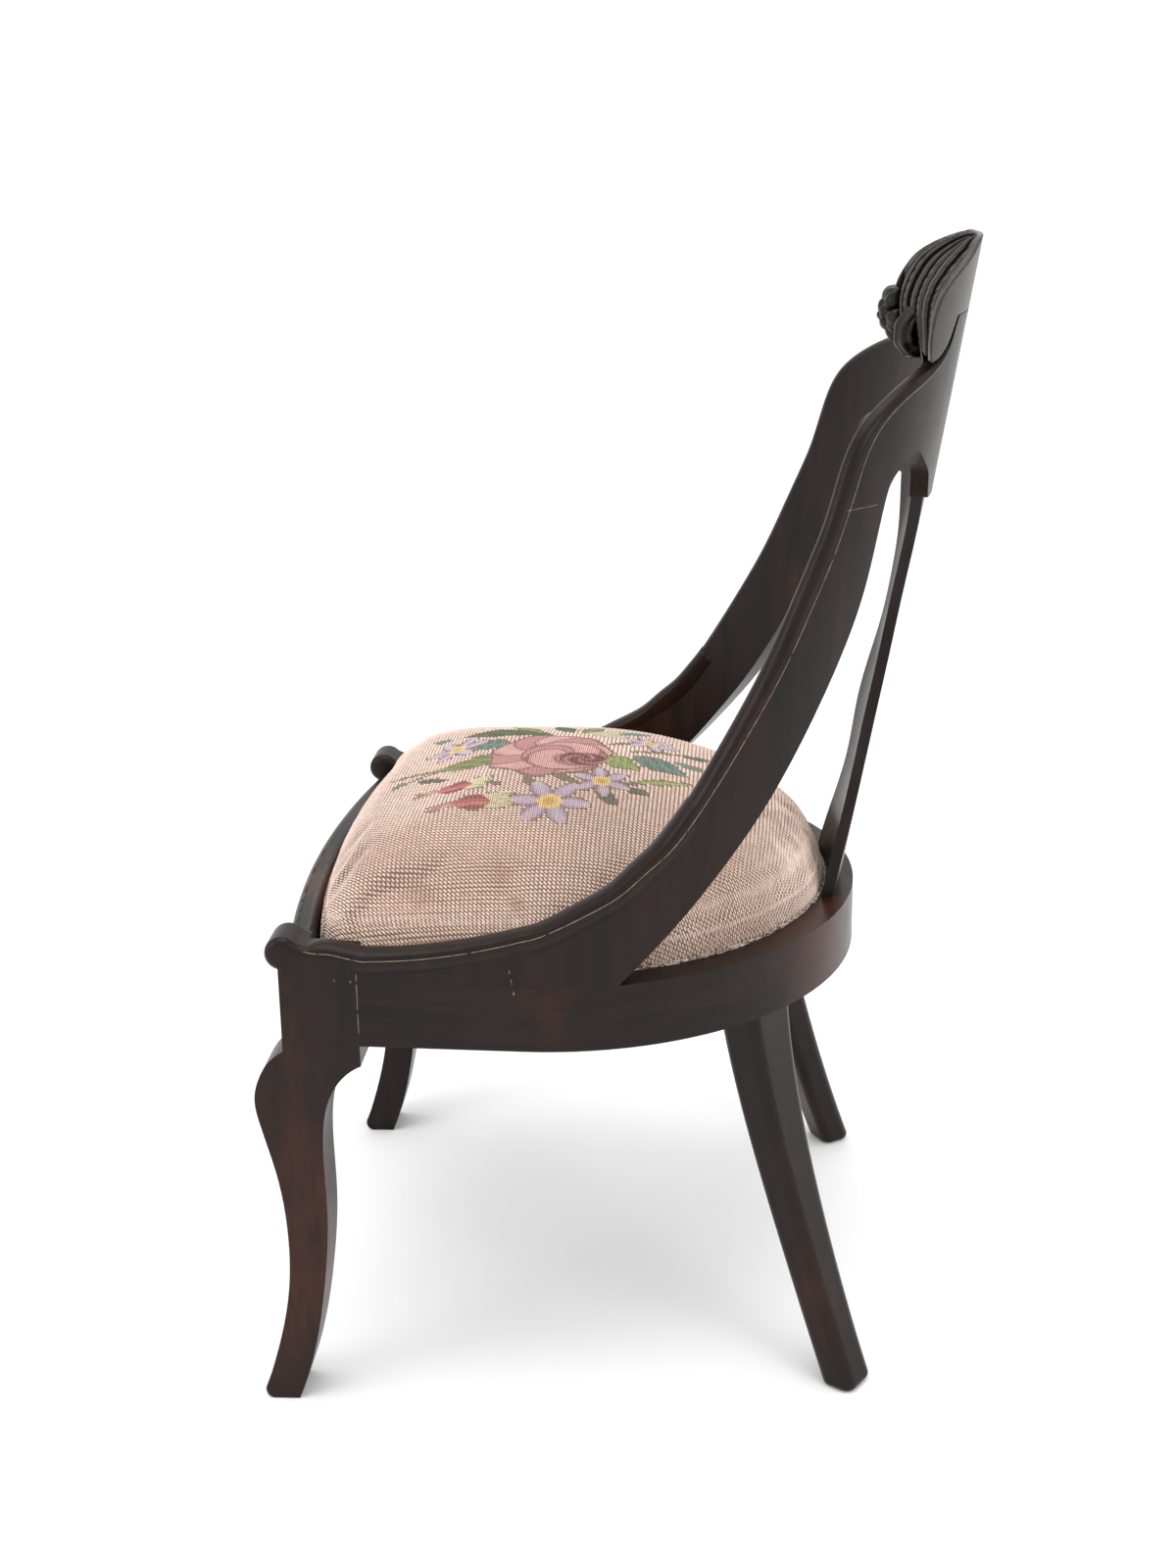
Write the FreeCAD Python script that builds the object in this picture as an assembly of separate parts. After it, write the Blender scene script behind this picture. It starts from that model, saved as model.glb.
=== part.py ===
import FreeCAD, Part
import math
import os

# Side chair with a gondola back: sabre-cut front legs with scrolled posts, a horseshoe seat rail,
# stiles that sweep up from the seat sides into a carved crest, a vase splat and a drop-in seat.
# Millimetres. X runs across the chair with +X at the sitter's left, the chair faces -Y, and Z is
# up from the floor. While it is drawn, Y starts at the centre of the half-round seat back; the
# finished pieces are moved together so that the origin is under the middle of the whole chair.

V = FreeCAD.Vector

# Horseshoe seat rail
SEAT_RADIUS = 242.0
SIDE_TAPER = 2.5
RAIL_BOTTOM = 304.0
RAIL_HEIGHT = 51.0
RAIL_WIDTH = 42.0
LIP_WIDTH = 23.0
RABBET_DEPTH = 14.0
BACK_JOINT_ANGLE = 50.0

# Front legs, with the post above the knee and the scroll knob on top
POST_JOINT_Y = -133.5
POST_DEPTH = 58.0
LEG_THICKNESS = 38.0
KNOB_RADIUS = 13.0
KNOB_HEIGHT = 21.0
KNOB_SETBACK = 2.5
POST_EDGE_ROUND = 6.0
TOE_LENGTH = 31.0

# Front rail
FRONT_BOW = 17.0
FRONT_LIP = 20.0
FRONT_RAIL_RISE = 17.0
FRONT_EDGE_ROUND = 7.0

# Leaning back: stiles and crest are sawn from one horseshoe shell
BACK_RAKE = 9.4
CREST_THICKNESS = 14.0
CREST_JOINT = 343.0
NOSING_RISE = 6.0
TAIL_HEIGHT = 18.0
TAIL_CLIMB = 15.0
TAB_DROP = 12.0
NOTCH_ANGLE = 27.5
YOKE_ANGLE = 19.4
CROWN_JOINT = 471.0
CROWN_HEIGHT = 55.0
SLIT_WIDTH = 3.5
CROWN_HALF_WIDTH = 127.0
CROWN_DEPTH = 57.0
EAR_DROP = 36.0
FLOWER_RADIUS = 21.0
BUD_RADIUS = 16.0
BUD_SPREAD = 62.0

# Splat
SPLAT_THICKNESS = 9.0
SPLAT_SETBACK = 12.0
SPLAT_RAKE = 10.7
SPLAT_FOOT = 57.0
SPLAT_WAIST = 34.0
SPLAT_BELLY = 38.5
SPLAT_NECK = 17.0
SPLAT_TOP = 54.0

# Rear sabre legs
REAR_LEG_ANGLE = 43.5
REAR_LEG_SPLAY_ANGLE = 33.0
REAR_LEG_INSET = 22.5
REAR_LEG_SPLAY = 92.0
REAR_LEG_WIDTH = 54.0
REAR_LEG_DEPTH = 36.0
REAR_FOOT_WIDTH = 34.0
REAR_FOOT_DEPTH = 30.0
REAR_LEG_ROUND = 9.0
FOOT_ROUND = 5.0

# Joinery
FIT = 0.15
TENON_LENGTH = 22.0
TENON_THICKNESS = 11.0
TENON_SHOULDER = 8.0
SPLAT_TENON_LENGTH = 12.0
SPLAT_TENON_THICKNESS = 5.0
SPLAT_TENON_SHOULDER = 12.0
DOWEL_DIAMETER = 10.0
DOWEL_DEPTH = 24.0
SMALL_DOWEL_DIAMETER = 6.5
SMALL_DOWEL_DEPTH = 14.0
BLOCK_HEIGHT = 28.0
BLOCK_DROP = 4.0
FRONT_BLOCK_LEG = 62.0
REAR_BLOCK_LENGTH = 64.0
REAR_BLOCK_DEPTH = 24.0
SCREW_DIAMETER = 5.0
SCREW_HEAD = 9.5
SCREW_LENGTH = 30.0

# Drop-in seat
SEAT_GAP = 1.5
COVER_THICKNESS = 2.0
FRAME_THICKNESS = 18.0
FRAME_WIDTH = 45.0
CORNER_ROUND = 22.0
WEB_WIDTH = 50.0
WEB_THICKNESS = 1.5
WEB_PITCH = 78.0
WEB_MARGIN = 8.0
BURLAP_THICKNESS = 1.0
SEAT_CROWN = 101.0
CROWN_DRAW_IN = 196.0
DUST_COVER_THICKNESS = 0.8
DUST_COVER_MARGIN = 4.0
TACK_HEAD = 9.0
TACK_HEAD_THICKNESS = 1.2
TACK_SHANK = 2.2
TACK_LENGTH = 10.0
TACK_MARGIN = 6.0
TACK_PITCH = 62.0

# Worked out from the sizes above
RAIL_TOP = RAIL_BOTTOM + RAIL_HEIGHT
RABBET_FLOOR = RAIL_TOP - RABBET_DEPTH
ARC_END = 90.0 + SIDE_TAPER
SIDE_FORWARD = (-POST_JOINT_Y - SEAT_RADIUS * math.sin(math.radians(SIDE_TAPER))) / math.cos(
    math.radians(SIDE_TAPER))
POST_FRONT = POST_JOINT_Y - POST_DEPTH
RAKE = math.tan(math.radians(BACK_RAKE))
JOINT_Z = RAIL_TOP + CREST_JOINT
TAB_BOTTOM = JOINT_Z - TAB_DROP
CROWN_Z = RAIL_TOP + CROWN_JOINT
FAR = 4.0 * SEAT_RADIUS


def box(x0, x1, y0, y1, z0, z1):
    return Part.makeBox(x1 - x0, y1 - y0, z1 - z0, V(x0, y0, z0))


def mirrored(shape):
    return shape.mirror(V(0, 0, 0), V(1, 0, 0))


def line(a, b):
    return Part.LineSegment(a, b).toShape()


def arc(a, b, c):
    return Part.Arc(a, b, c).toShape()


def spline(points):
    curve = Part.BSplineCurve()
    curve.interpolate(points)
    return curve.toShape()


def bent(a, b, c):
    """An arc through three points, or a straight edge where they are in line."""
    off_line = b.distanceToLine(a, c - a)
    return line(a, c) if off_line < 0.01 else arc(a, b, c)


def prism(edges, direction):
    return Part.Face(Part.Wire(edges)).extrude(direction)


def shell_point(angle, forward, height, inset):
    """A point on the leaning horseshoe: the angle is from the middle of the back, and forward is
    the distance along the straight side that follows the arc."""
    turn = math.radians(angle)
    taper = math.radians(SIDE_TAPER)
    reach = SEAT_RADIUS - inset
    x = reach * math.sin(turn) - forward * math.sin(taper)
    y = reach * math.cos(turn) - forward * math.cos(taper)
    return V(x, y + height * RAKE, RAIL_TOP + height)


def half_width(inset, y):
    """Half the width of the horseshoe at a place on its straight sides."""
    end = shell_point(ARC_END, 0, 0, inset)
    return end.x - (end.y - y) * math.tan(math.radians(SIDE_TAPER))


def horseshoe(inset, front_y, z):
    """The plan outline of the seat, drawn in from the rail's outer face and open at the front."""
    right_end = shell_point(ARC_END, 0, 0, inset)
    back = shell_point(0, 0, 0, inset)
    points = [V(half_width(inset, front_y), front_y, z), V(right_end.x, right_end.y, z),
              V(back.x, back.y, z)]
    other = [V(-p.x, p.y, z) for p in points]
    edges = [line(points[0], points[1]), arc(points[1], points[2], other[1]), line(other[1], other[0])]
    return edges, points[0], other[0]


def horseshoe_plate(inset, front_y, z, thickness):
    edges, start, end = horseshoe(inset, front_y, z)
    return prism(edges + [line(end, start)], V(0, 0, thickness))


def horseshoe_ring(outer_inset, inner_inset, front_y, z0, z1):
    outer = horseshoe_plate(outer_inset, front_y, z0, z1 - z0)
    inner = horseshoe_plate(inner_inset, front_y - 1.0, z0 - 1.0, z1 - z0 + 2.0)
    return outer.cut(inner)


def wedge(start_angle, end_angle, z0, z1):
    """A sector about the seat centre, with angles taken from the middle of the back."""
    def at(angle):
        turn = math.radians(angle)
        return V(FAR * math.sin(turn), FAR * math.cos(turn), z0)
    middle = at((start_angle + end_angle) / 2.0)
    edges = [line(V(0, 0, z0), at(start_angle)), line(at(start_angle), middle),
             line(middle, at(end_angle)), line(at(end_angle), V(0, 0, z0))]
    return prism(edges, V(0, 0, z1 - z0))


def cylinder(diameter, start, direction, length):
    return Part.makeCylinder(diameter / 2.0, length, start, direction)


def dowel(centre, direction, depth, diameter, clearance=0.0):
    """A dowel that goes the same depth into both pieces; with a clearance it is the drilled hole."""
    axis = V(direction).normalize()
    reach = depth + clearance
    return cylinder(diameter + 2.0 * clearance, centre - axis * reach, axis, 2.0 * reach)


# Seat rails

def full_rail_ring():
    lip = horseshoe_ring(0, LIP_WIDTH, POST_JOINT_Y, RAIL_BOTTOM, RAIL_TOP)
    ledge = horseshoe_ring(LIP_WIDTH, RAIL_WIDTH, POST_JOINT_Y, RAIL_BOTTOM, RABBET_FLOOR)
    return lip.fuse(ledge).removeSplitter()


def side_tenon(clearance):
    outer = half_width(0, POST_JOINT_Y)
    middle = outer - LIP_WIDTH / 2.0
    half = TENON_THICKNESS / 2.0 + clearance
    return box(middle - half, middle + half, POST_JOINT_Y - TENON_LENGTH - clearance, POST_JOINT_Y,
               RAIL_BOTTOM + TENON_SHOULDER - clearance, RAIL_TOP - TENON_SHOULDER + clearance)


def front_tenon(clearance):
    inner = post_inner()
    middle = POST_FRONT + FRONT_LIP / 2.0
    half = TENON_THICKNESS / 2.0 + clearance
    return box(inner, inner + TENON_LENGTH + clearance, middle - half, middle + half,
               RAIL_BOTTOM + TENON_SHOULDER - clearance, RAIL_TOP - TENON_SHOULDER + clearance)


def post_outer():
    return half_width(0, POST_JOINT_Y)


def post_inner():
    return post_outer() - LEG_THICKNESS


def front_line(setback, x):
    """Y of the bowed front line at a distance from the middle, set back from the rail's front face."""
    inner = post_inner()
    radius = (inner * inner + FRONT_BOW * FRONT_BOW) / (2.0 * FRONT_BOW)
    centre_y = POST_FRONT - FRONT_BOW + radius
    return centre_y - math.sqrt((radius - setback) ** 2 - x * x)


def front_arc(setback, half, z):
    edge_y = front_line(setback, half)
    return [V(-half, edge_y, z), V(0, front_line(setback, 0), z), V(half, edge_y, z)]


def front_bar(setback, depth, z0, z1):
    a, b, c = front_arc(setback, post_inner(), z0)
    d, e, f = front_arc(setback + depth, post_inner(), z0)
    return prism([arc(a, b, c), line(c, f), arc(f, e, d), line(d, a)], V(0, 0, z1 - z0))


def front_rail():
    top = RAIL_TOP + FRONT_RAIL_RISE
    lip = front_bar(0, FRONT_LIP, RAIL_BOTTOM, top)
    upper = [e for e in lip.Edges
             if e.BoundBox.ZMin > top - 0.01 and e.BoundBox.XLength > LEG_THICKNESS]
    lip = lip.makeFillet(FRONT_EDGE_ROUND, upper)
    ledge = front_bar(FRONT_LIP, RAIL_WIDTH - LIP_WIDTH, RAIL_BOTTOM, RABBET_FLOOR)
    rail = lip.fuse(ledge)
    return rail.fuse([front_tenon(0), mirrored(front_tenon(0))]).removeSplitter()


# Front legs

def leg_outline():
    """Side outline of a front leg in the YZ plane: scroll knob, post, knee, shin and toe."""
    def front(y, z):
        return V(0, POST_FRONT + y, z)

    def rear(y, z):
        return V(0, POST_JOINT_Y + y, z)

    knee = RAIL_BOTTOM
    knob_y = KNOB_SETBACK
    knob_z = RAIL_TOP + KNOB_HEIGHT
    roll_top = RAIL_TOP + TAIL_HEIGHT + NOSING_RISE
    lift = math.radians(42.0)
    crown = front(knob_y + KNOB_RADIUS * math.sin(lift), knob_z + KNOB_RADIUS * math.cos(lift))
    nose = front(knob_y - KNOB_RADIUS, knob_z)
    under = front(0, knob_z - math.sqrt(KNOB_RADIUS ** 2 - KNOB_SETBACK ** 2))
    top_joint = rear(0, roll_top)
    roll = Part.BSplineCurve()
    slope = V(0, math.cos(lift), -math.sin(lift))
    roll.interpolate(Points=[crown, rear(-24.0, roll_top + 1.0), top_joint],
                     InitialTangent=slope * 28.0, FinalTangent=V(0, 24.0, -0.5))
    shin_front = [front(0, knee - 5), front(-12.5, knee - 15.5), front(-20, knee - 29),
                  front(-23.5, knee - 44), front(-20.5, knee - 66), front(-9.5, 0.63 * knee),
                  front(-4.7, 0.48 * knee), front(-6.5, 0.32 * knee),
                  front(3.5 - 0.65 * TOE_LENGTH, 0.158 * knee), front(3.5 - TOE_LENGTH, 0.043 * knee)]
    toe = front(7.0 - TOE_LENGTH, 0)
    heel = rear(-61.2, 0)
    shin_rear = [heel, rear(-53, 0.072 * knee), rear(-45.5, 0.164 * knee), rear(-36.5, 0.332 * knee),
                 rear(-31.2, 0.546 * knee), rear(-31.2, knee - 74), rear(-25.5, knee - 45),
                 rear(-16, knee - 28.5), rear(0, knee - 16.5)]
    return [roll.toShape(), line(top_joint, shin_rear[-1]), spline(shin_rear), line(heel, toe),
            arc(toe, front(2.0 - TOE_LENGTH, 0.0165 * knee), shin_front[-1]), spline(shin_front),
            line(shin_front[0], under), arc(under, nose, crown)]


def front_leg():
    blank = prism(leg_outline(), V(LEG_THICKNESS, 0, 0))
    blank.translate(V(post_inner(), 0, 0))
    rolled = [e for e in blank.Edges
              if e.BoundBox.ZMin > RAIL_TOP + TAIL_HEIGHT - KNOB_RADIUS and e.BoundBox.XLength < 0.01
              and e.BoundBox.YLength > KNOB_RADIUS / 2.0]
    leg = blank.makeFillet(POST_EDGE_ROUND, rolled)
    seat_notch = box(0, post_outer() - LIP_WIDTH, POST_FRONT + FRONT_LIP, POST_JOINT_Y + 1.0,
                     RABBET_FLOOR, FAR)
    return leg.cut(seat_notch).cut(side_tenon(FIT)).cut(front_tenon(FIT))


# Stiles and crest, lofted in one run from a post to past the middle and sawn apart at the joints

def back_thickness(height):
    share = min(max(height / CREST_JOINT, 0.0), 1.0)
    return LIP_WIDTH + (CREST_THICKNESS - LIP_WIDTH) * share


# Heights on the back are levels: 0 is the rail's top, 1 the crest joint and 2 the crown's seat.
TAB_LEVEL = 1.0 - 1.5 * TAB_DROP / CREST_JOINT

# Each station: front edge angle and level, rear edge angle and level, share of the nosing
RISING = [
    (91.0, 0.099, 88.0, -0.099, 1.0),
    (85.9, 0.14, 82.5, -0.087, 1.0),
    (79.4, 0.19, 77.5, -0.026, 1.0),
    (75.2, 0.248, 72.5, 0.044, 1.0),
    (70.9, 0.309, 66.0, 0.14, 1.0),
    (66.5, 0.399, 60.0, 0.239, 1.0),
    (61.0, 0.536, 53.0, 0.367, 1.0),
    (56.0, 0.671, 46.0, 0.531, 1.0),
    (52.4, 0.796, 40.0, 0.706, 1.0),
    (49.4, 0.91, 37.3, 0.851, 1.0),
    (47.3, 1.07, 36.3, 1.055, 1.0),
    (46.2, 1.258, 35.2, 1.133, 1.0),
    (44.4, 1.398, 33.2, 1.188, 1.0),
    (41.0, 1.508, 30.5, 1.23, 1.0),
    (36.0, 1.598, NOTCH_ANGLE, 1.25, 1.0),
    (30.5, 1.664, 23.5, 1.18, 1.0),
    (25.5, 1.734, 19.0, 1.086, 0.5),
    (21.0, 1.844, 16.5, 0.994, 0.3),
    (YOKE_ANGLE, 1.977, 14.6, TAB_LEVEL + 0.02, 0.2),
    (14.0, 2.07, 12.0, TAB_LEVEL, 0.2),
    (9.0, 2.08, 9.0, TAB_LEVEL, 0.2),
    (4.5, 2.08, 4.5, TAB_LEVEL, 0.2),
    (0.0, 2.08, 0.0, TAB_LEVEL, 0.2),
]
# Stations of the low tail along the seat side, as shares of the straight side
TAIL = [1.08, 0.92, 0.76, 0.60, 0.44, 0.28, 0.12]
TAIL_ROOT = -2.0 * TAIL_HEIGHT


def back_height(level):
    if level <= 1.0:
        return level * CREST_JOINT
    return CREST_JOINT + (level - 1.0) * (CROWN_JOINT - CREST_JOINT)


def back_section(front, rear, rise):
    """One cross-section of the back: outer face, rounded nosing, inner face and square rear edge."""
    middle = [(a + b) / 2.0 for a, b in zip(front, rear)]
    outer = [shell_point(*p, 0) for p in (rear, middle, front)]
    inner = [shell_point(*p, back_thickness(p[2])) for p in (front, middle, rear)]
    front_centre = (outer[2] + inner[0]) * 0.5
    rear_centre = (outer[0] + inner[2]) * 0.5
    crest = front_centre + (front_centre - rear_centre).normalize() * rise
    nosing = arc(outer[2], crest, inner[0])
    return Part.Wire([bent(*outer), nosing, bent(*inner), line(inner[2], outer[0])])


def back_loft():
    sections = []
    for share in TAIL:
        forward = share * SIDE_FORWARD
        front = (ARC_END, forward, TAIL_HEIGHT + TAIL_CLIMB * max(1.0 - share, 0.0) ** 1.6)
        rear = (ARC_END, forward, TAIL_ROOT)
        sections.append(back_section(front, rear, NOSING_RISE))
    for front_angle, front_level, rear_angle, rear_level, share in RISING:
        front = (front_angle, 0.0, back_height(front_level))
        rear = (rear_angle, 0.0, back_height(rear_level))
        sections.append(back_section(front, rear, share * NOSING_RISE))
    past_middle = [mirrored(s) for s in (sections[-2], sections[-3])]
    return Part.makeLoft(sections + past_middle, True, False)


def back_pieces():
    back = back_loft()
    split = SEAT_RADIUS * math.sin(math.radians(NOTCH_ANGLE))
    left = back.common(box(split, FAR, POST_JOINT_Y, FAR, RAIL_TOP, JOINT_Z))
    arch = back.common(box(0, FAR, 0, FAR, JOINT_Z, CROWN_Z))
    tab = back.common(box(0, split, 0, FAR, TAB_BOTTOM, JOINT_Z))
    half_crest = arch.fuse(tab)
    return left, half_crest.fuse(mirrored(half_crest)).removeSplitter()


# Carved crown on the crest: a leaf fan with two ears, the flower and the buds left as plain bosses

# Each level: height share (of the crown above the joint, or of the ears below it), width, depth
CROWN_LEVELS = [(-1.0, 0.913, 0.70), (-0.72, 0.96, 0.82), (-0.3, 0.996, 0.93), (0.07, 0.996, 1.0),
                (0.345, 0.949, 0.98), (0.545, 0.835, 0.91), (0.727, 0.646, 0.79), (0.873, 0.488, 0.58),
                (1.0, 0.315, 0.25)]


def crown_height(share):
    return CROWN_JOINT + share * (CROWN_HEIGHT if share > 0 else EAR_DROP)


def crown_front(share, depth):
    height = crown_height(share)
    return shell_point(0, 0, height, depth * CROWN_DEPTH)


def crown_section(share, width, depth):
    half = width * CROWN_HALF_WIDTH
    height = crown_height(share)
    angle = math.degrees(math.asin(half / SEAT_RADIUS))
    edge = shell_point(angle, 0, height, 0)
    other = V(-edge.x, edge.y, edge.z)
    back = arc(edge, shell_point(0, 0, height, 0), other)
    return Part.Wire([back, arc(other, crown_front(share, depth), edge)])


def leaning_plate(outer_inset, inner_inset, rake, z0, z1):
    """A curved plate that leans back: the full ring between two insets, sheared by its rake."""
    def ring_face(inset):
        centre = V(0, (z0 - RAIL_TOP) * rake, z0)
        return Part.Face(Part.Wire(Part.Circle(centre, V(0, 0, 1), SEAT_RADIUS - inset).toShape()))
    climb = V(0, (z1 - z0) * rake, z1 - z0)
    return ring_face(outer_inset).extrude(climb).cut(ring_face(inner_inset).extrude(climb))


def crown_seat():
    """What the crown leaves free: the crest's top edge below it, and the slits beside the ears."""
    start = SEAT_RADIUS * math.sin(math.radians(YOKE_ANGLE)) + SLIT_WIDTH
    steps = [(0, 0), (3.5, 0.22), (8, 0.45), (16, 0.67), (26, 0.81), (34, 0.84)]
    slit = [V(start + dx, 0, CROWN_Z - share * EAR_DROP) for dx, share in steps]
    low = CROWN_Z - 3.0 * EAR_DROP
    ear = V(CROWN_HALF_WIDTH + EAR_DROP, 0, slit[-1].z)
    corners = [slit[-1], ear, V(ear.x, 0, low), V(0, 0, low), V(0, 0, CROWN_Z), slit[0]]
    edges = [spline(slit)] + [line(a, b) for a, b in zip(corners, corners[1:])]
    half = prism(edges, V(0, FAR, 0))
    wall = leaning_plate(-CREST_THICKNESS, CREST_THICKNESS + 2.0 * FIT, RAKE, low, CROWN_Z + 1.0)
    return half.fuse(mirrored(half)).common(wall)


def crest_carving():
    crown = Part.makeLoft([crown_section(*level) for level in CROWN_LEVELS], True, False)
    petals = crown_front(-0.25, 1.0) + V(0, FLOWER_RADIUS * 0.62, 0)
    bud_front = crown_front(-0.5, 0.84) + V(BUD_SPREAD, BUD_RADIUS, 0)
    bosses = [Part.makeSphere(FLOWER_RADIUS, petals), Part.makeSphere(BUD_RADIUS, bud_front),
              Part.makeSphere(BUD_RADIUS, V(-bud_front.x, bud_front.y, bud_front.z))]
    return crown.fuse(bosses).cut(crown_seat())


# Splat

def splat_plate(thickness, z0, z1):
    middle = SPLAT_SETBACK + SPLAT_THICKNESS / 2.0
    rake = math.tan(math.radians(SPLAT_RAKE))
    return leaning_plate(middle - thickness / 2.0, middle + thickness / 2.0, rake, z0, z1)


def splat_tenons(clearance):
    """The tongues that hold the splat in the back rail and in the crest's tab."""
    tongues = []
    for half, z0, z1 in ((SPLAT_FOOT, RAIL_TOP - SPLAT_TENON_LENGTH - clearance, RAIL_TOP),
                         (SPLAT_TOP, TAB_BOTTOM, TAB_BOTTOM + SPLAT_TENON_LENGTH + clearance)):
        reach = half - SPLAT_TENON_SHOULDER + clearance
        plate = splat_plate(SPLAT_TENON_THICKNESS + 2.0 * clearance, z0, z1)
        tongues.append(plate.common(box(-reach, reach, 0, FAR, z0, z1)))
    return tongues


def splat():
    height = TAB_BOTTOM - RAIL_TOP
    profile = [(SPLAT_FOOT, 0.0), (SPLAT_FOOT - 10.0, 0.14), (SPLAT_WAIST, 0.30), (SPLAT_BELLY, 0.43),
               (0.75 * SPLAT_BELLY, 0.565), (SPLAT_NECK, 0.68), (SPLAT_NECK, 0.755),
               (SPLAT_NECK + 9.0, 0.86), (SPLAT_TOP - 14.0, 0.93), (SPLAT_TOP, 1.0)]
    side = [V(half, 0, RAIL_TOP + share * height) for half, share in profile]
    other = [V(-p.x, 0, p.z) for p in side]
    outline = [spline(side), line(side[-1], other[-1]), spline(other[::-1]), line(other[0], side[0])]
    vase = splat_plate(SPLAT_THICKNESS, RAIL_TOP, TAB_BOTTOM).common(prism(outline, V(0, FAR, 0)))
    return vase.fuse(splat_tenons(0))


# Rear sabre legs

def rounded_rectangle(centre, along, width, depth, radius):
    across = V(-along.y, along.x, 0)
    corners = [(1, 1), (-1, 1), (-1, -1), (1, -1)]
    edges, ends = [], []
    for u, v in corners:
        pivot = centre + along * (u * (depth / 2.0 - radius)) + across * (v * (width / 2.0 - radius))
        a = pivot + along * (u * radius)
        b = pivot + across * (v * radius)
        tip = pivot + (along * u + across * v) * (radius / math.sqrt(2.0))
        ends.append((a, tip, b) if u * v > 0 else (b, tip, a))
    for i, (a, tip, b) in enumerate(ends):
        edges += [arc(a, tip, b), line(b, ends[(i + 1) % 4][0])]
    return Part.Wire(edges)


def leg_top_centre():
    spot = shell_point(REAR_LEG_ANGLE, 0, 0, REAR_LEG_INSET)
    return V(spot.x, spot.y, RAIL_BOTTOM)


def rear_leg():
    turn = math.radians(REAR_LEG_SPLAY_ANGLE)
    along = V(math.sin(turn), math.cos(turn), 0)
    sections = []
    for share in (0.0, 0.25, 0.5, 0.75, 1.0):
        taper = (1.0 - share) ** 1.8
        width = REAR_FOOT_WIDTH + (REAR_LEG_WIDTH - REAR_FOOT_WIDTH) * taper
        depth = REAR_FOOT_DEPTH + (REAR_LEG_DEPTH - REAR_FOOT_DEPTH) * taper
        centre = leg_top_centre() + along * (REAR_LEG_SPLAY * share ** 1.3) - V(0, 0, RAIL_BOTTOM * share)
        sections.append(rounded_rectangle(centre, along, width, depth, REAR_LEG_ROUND))
    leg = Part.makeLoft(sections, True, False)
    sole = [e for e in leg.Edges if e.BoundBox.ZMax < 0.1]
    return leg.makeFillet(FOOT_ROUND, sole)


# Glue blocks and their screws

def screw(start, direction, clearance=0.0):
    """A plain countersunk wood screw; with a clearance it is the hole, sunk in from the open side."""
    head = SCREW_HEAD / 2.0 + clearance
    shank = SCREW_DIAMETER / 2.0 + clearance
    cone = Part.makeCone(head, shank, head - shank, start, direction)
    stem = cylinder(2.0 * shank, start, direction, SCREW_LENGTH + clearance)
    if clearance:
        cone = cone.fuse(cylinder(2.0 * head, start - direction * SCREW_LENGTH, direction, SCREW_LENGTH))
    return cone.fuse(stem).removeSplitter()


def front_block_corner():
    return V(post_inner(), POST_FRONT + FRONT_LIP, RAIL_BOTTOM + BLOCK_DROP)


def front_block():
    corner = front_block_corner()
    reach = FRONT_BLOCK_LEG + RAIL_WIDTH - LIP_WIDTH
    a = corner + V(0, reach, 0)
    b = corner - V(reach, 0, 0)
    return prism([line(corner, a), line(a, b), line(b, corner)], V(0, 0, BLOCK_HEIGHT))


def front_block_screws():
    corner = front_block_corner() + V(0, 0, BLOCK_HEIGHT / 2.0)
    reach = FRONT_BLOCK_LEG + RAIL_WIDTH - LIP_WIDTH
    near, far = 0.36 * reach, 0.64 * reach
    return [(corner + V(-near + SCREW_HEAD, far, 0), V(1, 0, 0)),
            (corner + V(-far, near - SCREW_HEAD, 0), V(0, -1, 0))]


def rear_block():
    inner = SEAT_RADIUS - RAIL_WIDTH
    half = REAR_BLOCK_LENGTH / 2.0
    z0 = RAIL_BOTTOM + BLOCK_DROP
    block = box(-half, half, inner - REAR_BLOCK_DEPTH, inner + LIP_WIDTH / 2.0, z0, z0 + BLOCK_HEIGHT)
    block.rotate(V(0, 0, 0), V(0, 0, 1), -BACK_JOINT_ANGLE)
    return block


def rear_block_screws():
    turn = math.radians(BACK_JOINT_ANGLE)
    out = V(math.sin(turn), math.cos(turn), 0)
    across = V(out.y, -out.x, 0)
    start = out * (SEAT_RADIUS - RAIL_WIDTH - REAR_BLOCK_DEPTH + SCREW_HEAD / 2.0)
    start.z = RAIL_BOTTOM + BLOCK_DROP + BLOCK_HEIGHT / 2.0
    return [(start + across * (side * REAR_BLOCK_LENGTH / 4.0), out) for side in (1, -1)]


# Dowels, each set as places for the left half of the chair

def rear_leg_dowels():
    turn = math.radians(REAR_LEG_SPLAY_ANGLE)
    across = V(math.cos(turn), -math.sin(turn), 0)
    step = across * (REAR_LEG_WIDTH / 5.0)
    return [(leg_top_centre() + step, V(0, 0, 1)), (leg_top_centre() - step, V(0, 0, 1))]


def rail_joint_dowels():
    turn = math.radians(BACK_JOINT_ANGLE)
    spot = shell_point(BACK_JOINT_ANGLE, 0, 0, DOWEL_DIAMETER)
    tangent = V(math.cos(turn), -math.sin(turn), 0)
    above_leg_dowels = RAIL_BOTTOM + DOWEL_DEPTH + SMALL_DOWEL_DIAMETER
    return [(V(spot.x, spot.y, z), tangent) for z in (above_leg_dowels, RAIL_TOP - DOWEL_DIAMETER)]


def tail_dowels():
    middle = LIP_WIDTH / 2.0
    return [(shell_point(ARC_END, 0.45 * SIDE_FORWARD, 0, middle), V(0, 0, 1)),
            (shell_point(ARC_END - 0.1 * ARC_END, 0, 0, middle), V(0, 0, 1))]


def crest_joint_dowels():
    lean = V(0, RAKE, 1)
    middle = back_thickness(CREST_JOINT) / 2.0
    return [(shell_point(1.53 * NOTCH_ANGLE, 0, CREST_JOINT, middle), lean)]


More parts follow.
